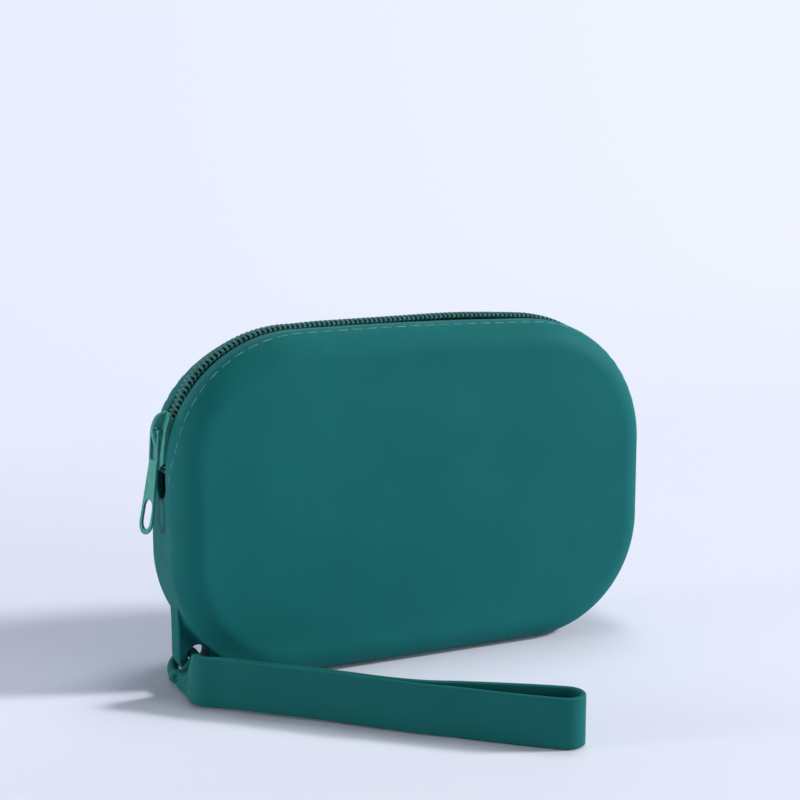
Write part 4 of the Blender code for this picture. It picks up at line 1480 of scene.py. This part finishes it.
def stage_material():
    """Pale paper. Rays that are seen meet a paler tone further back, made brighter towards the right with
    painted light, and the floor keeps its shadows.
    """
    material, tree, shader = new_material("pale_sweep", PAPER_COLOUR, roughness=0.80, specular=0.05)
    place = place_input(tree)
    cloud = ramp(tree, noise(tree, place, scale=3.0), 0.3, 0.7)
    tree.links.new(mix_colour(tree, cloud, *PAPER_CLOUDS), shader.inputs["Base Color"])
    parts = tree.nodes.new("ShaderNodeSeparateXYZ")
    tree.links.new(place, parts.inputs["Vector"])
    # Painted light: the seen tone brightens from left to right across the paper
    right = ramp(tree, parts.outputs["X"], *PAINTED_LIGHT_SPAN_X)
    glow = tree.nodes.new("ShaderNodeEmission")
    tree.links.new(mix_colour(tree, right, *SEEN_COLOURS_WITH_PAINTED_LIGHT), glow.inputs["Color"])
    seen = seen_rays(tree)
    far = ramp(tree, parts.outputs["Y"], *SEEN_FAR)
    mix = tree.nodes.new("ShaderNodeMixShader")
    tree.links.new(math_node(tree, "MULTIPLY", seen, far), mix.inputs["Fac"])
    tree.links.new(shader.outputs["BSDF"], mix.inputs[1])
    tree.links.new(glow.outputs["Emission"], mix.inputs[2])
    output = [node for node in tree.nodes if node.type == "OUTPUT_MATERIAL"][0]
    tree.links.new(mix.outputs["Shader"], output.inputs["Surface"])
    return material


def build_stage():
    """Flat floor that curves up into a backdrop behind the object."""
    line = [(y, 0.0) for y in FLOOR_ROWS]
    back = FLOOR_ROWS[-1]
    line += [(back + SWEEP_RADIUS * sin, SWEEP_RADIUS * (1 - cos)) for cos, sin in quarter_turn(16)[1:]]
    line.append((back + SWEEP_RADIUS, SWEEP_TOP))
    columns = [-SWEEP_HALF_WIDTH + 2 * SWEEP_HALF_WIDTH * step / 10 for step in range(11)]
    work = bmesh.new()
    add_grid(work, [[(x, y, z) for x in columns] for y, z in line])
    sweep_sheet = finish_mesh("backdrop_sweep", work, stage_material())
    if sweep_sheet.data.polygons[0].normal.z < 0:
        sweep_sheet.data.flip_normals()


def area_light(name, place, target, width, height, power, colour):
    data = bpy.data.lights.new(name, "AREA")
    data.shape = "RECTANGLE"
    data.size, data.size_y = width, height
    data.energy = power
    data.color = colour
    item = link_item(name, data)
    item.location = place
    item.rotation_euler = (Vector(target) - Vector(place)).to_track_quat("-Z", "Y").to_euler()
    item.visible_camera = False


def build_lights():
    for light in LIGHTS:
        area_light(*light)


def build_world():
    """Pale where it is seen, and dim as a light."""
    world = bpy.data.worlds.new("soft_world")
    world.use_nodes = True
    tree = world.node_tree
    sky = tree.nodes["Background"]
    sky.inputs["Color"].default_value = (*WORLD_COLOUR, 1.0)
    strength = ramp(tree, seen_rays(tree), 0.0, 1.0, WORLD_LIGHT, 1.0)
    tree.links.new(strength, sky.inputs["Strength"])
    bpy.context.scene.world = world


def build_camera():
    data = bpy.data.cameras.new("photo_camera")
    data.lens = CAMERA_LENS
    data.sensor_width = SENSOR_WIDTH
    data.sensor_fit = "HORIZONTAL"
    data.clip_start = 0.01
    item = link_item("photo_camera", data)
    item.location = CAMERA_PLACE
    item.rotation_euler = CAMERA_AIM.to_track_quat("-Z", "Y").to_euler()
    bpy.context.scene.camera = item


def carry(piece, body, slot, *nodes):
    """A piece rides on a body and stands for CAD nodes; the slot it is given is not used."""
    if body:
        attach(piece, body)
    if nodes:
        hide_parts(*nodes)


def build():
    bpy.context.scene.view_settings.view_transform = "Standard"
    build_camera()
    build_stage()
    build_lights()
    build_world()
    materials = make_materials()
    skin = build_skin(materials)
    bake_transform(skin)
    carry(skin, None, "silicone", "back_shell", "front_shell")
    carry(build_lug(materials), "back", "silicone", "strap_lug")
    for body, side in (("back", 1), ("front", -1)):
        carry(build_tape(body + "_tape", side, materials), body, "zip_tape", body + "_zip_tape")
        carry(build_coil(body + "_coil_turns", side, materials), body, "zip_coil", body + "_zip_coil")
        needle = build_stitches(body + "_needle_stitches", side, False, materials)
        carry(needle, body, "thread", body + "_needle_thread")
        bobbin = build_stitches(body + "_bobbin_stitches", side, True, materials)
        carry(bobbin, body, "thread", body + "_bobbin_thread")
    carry(build_slider(materials), "slider", "slider_paint", "slider_body")
    carry(build_pull(materials), "pull", "slider_paint", "pull_tab")
    carry(build_hitch(materials), "back", "strap", "strap_hitch")
    band = build_strap(materials)
    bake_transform(band)
    carry(band, None, "strap", "wrist_strap")


build()
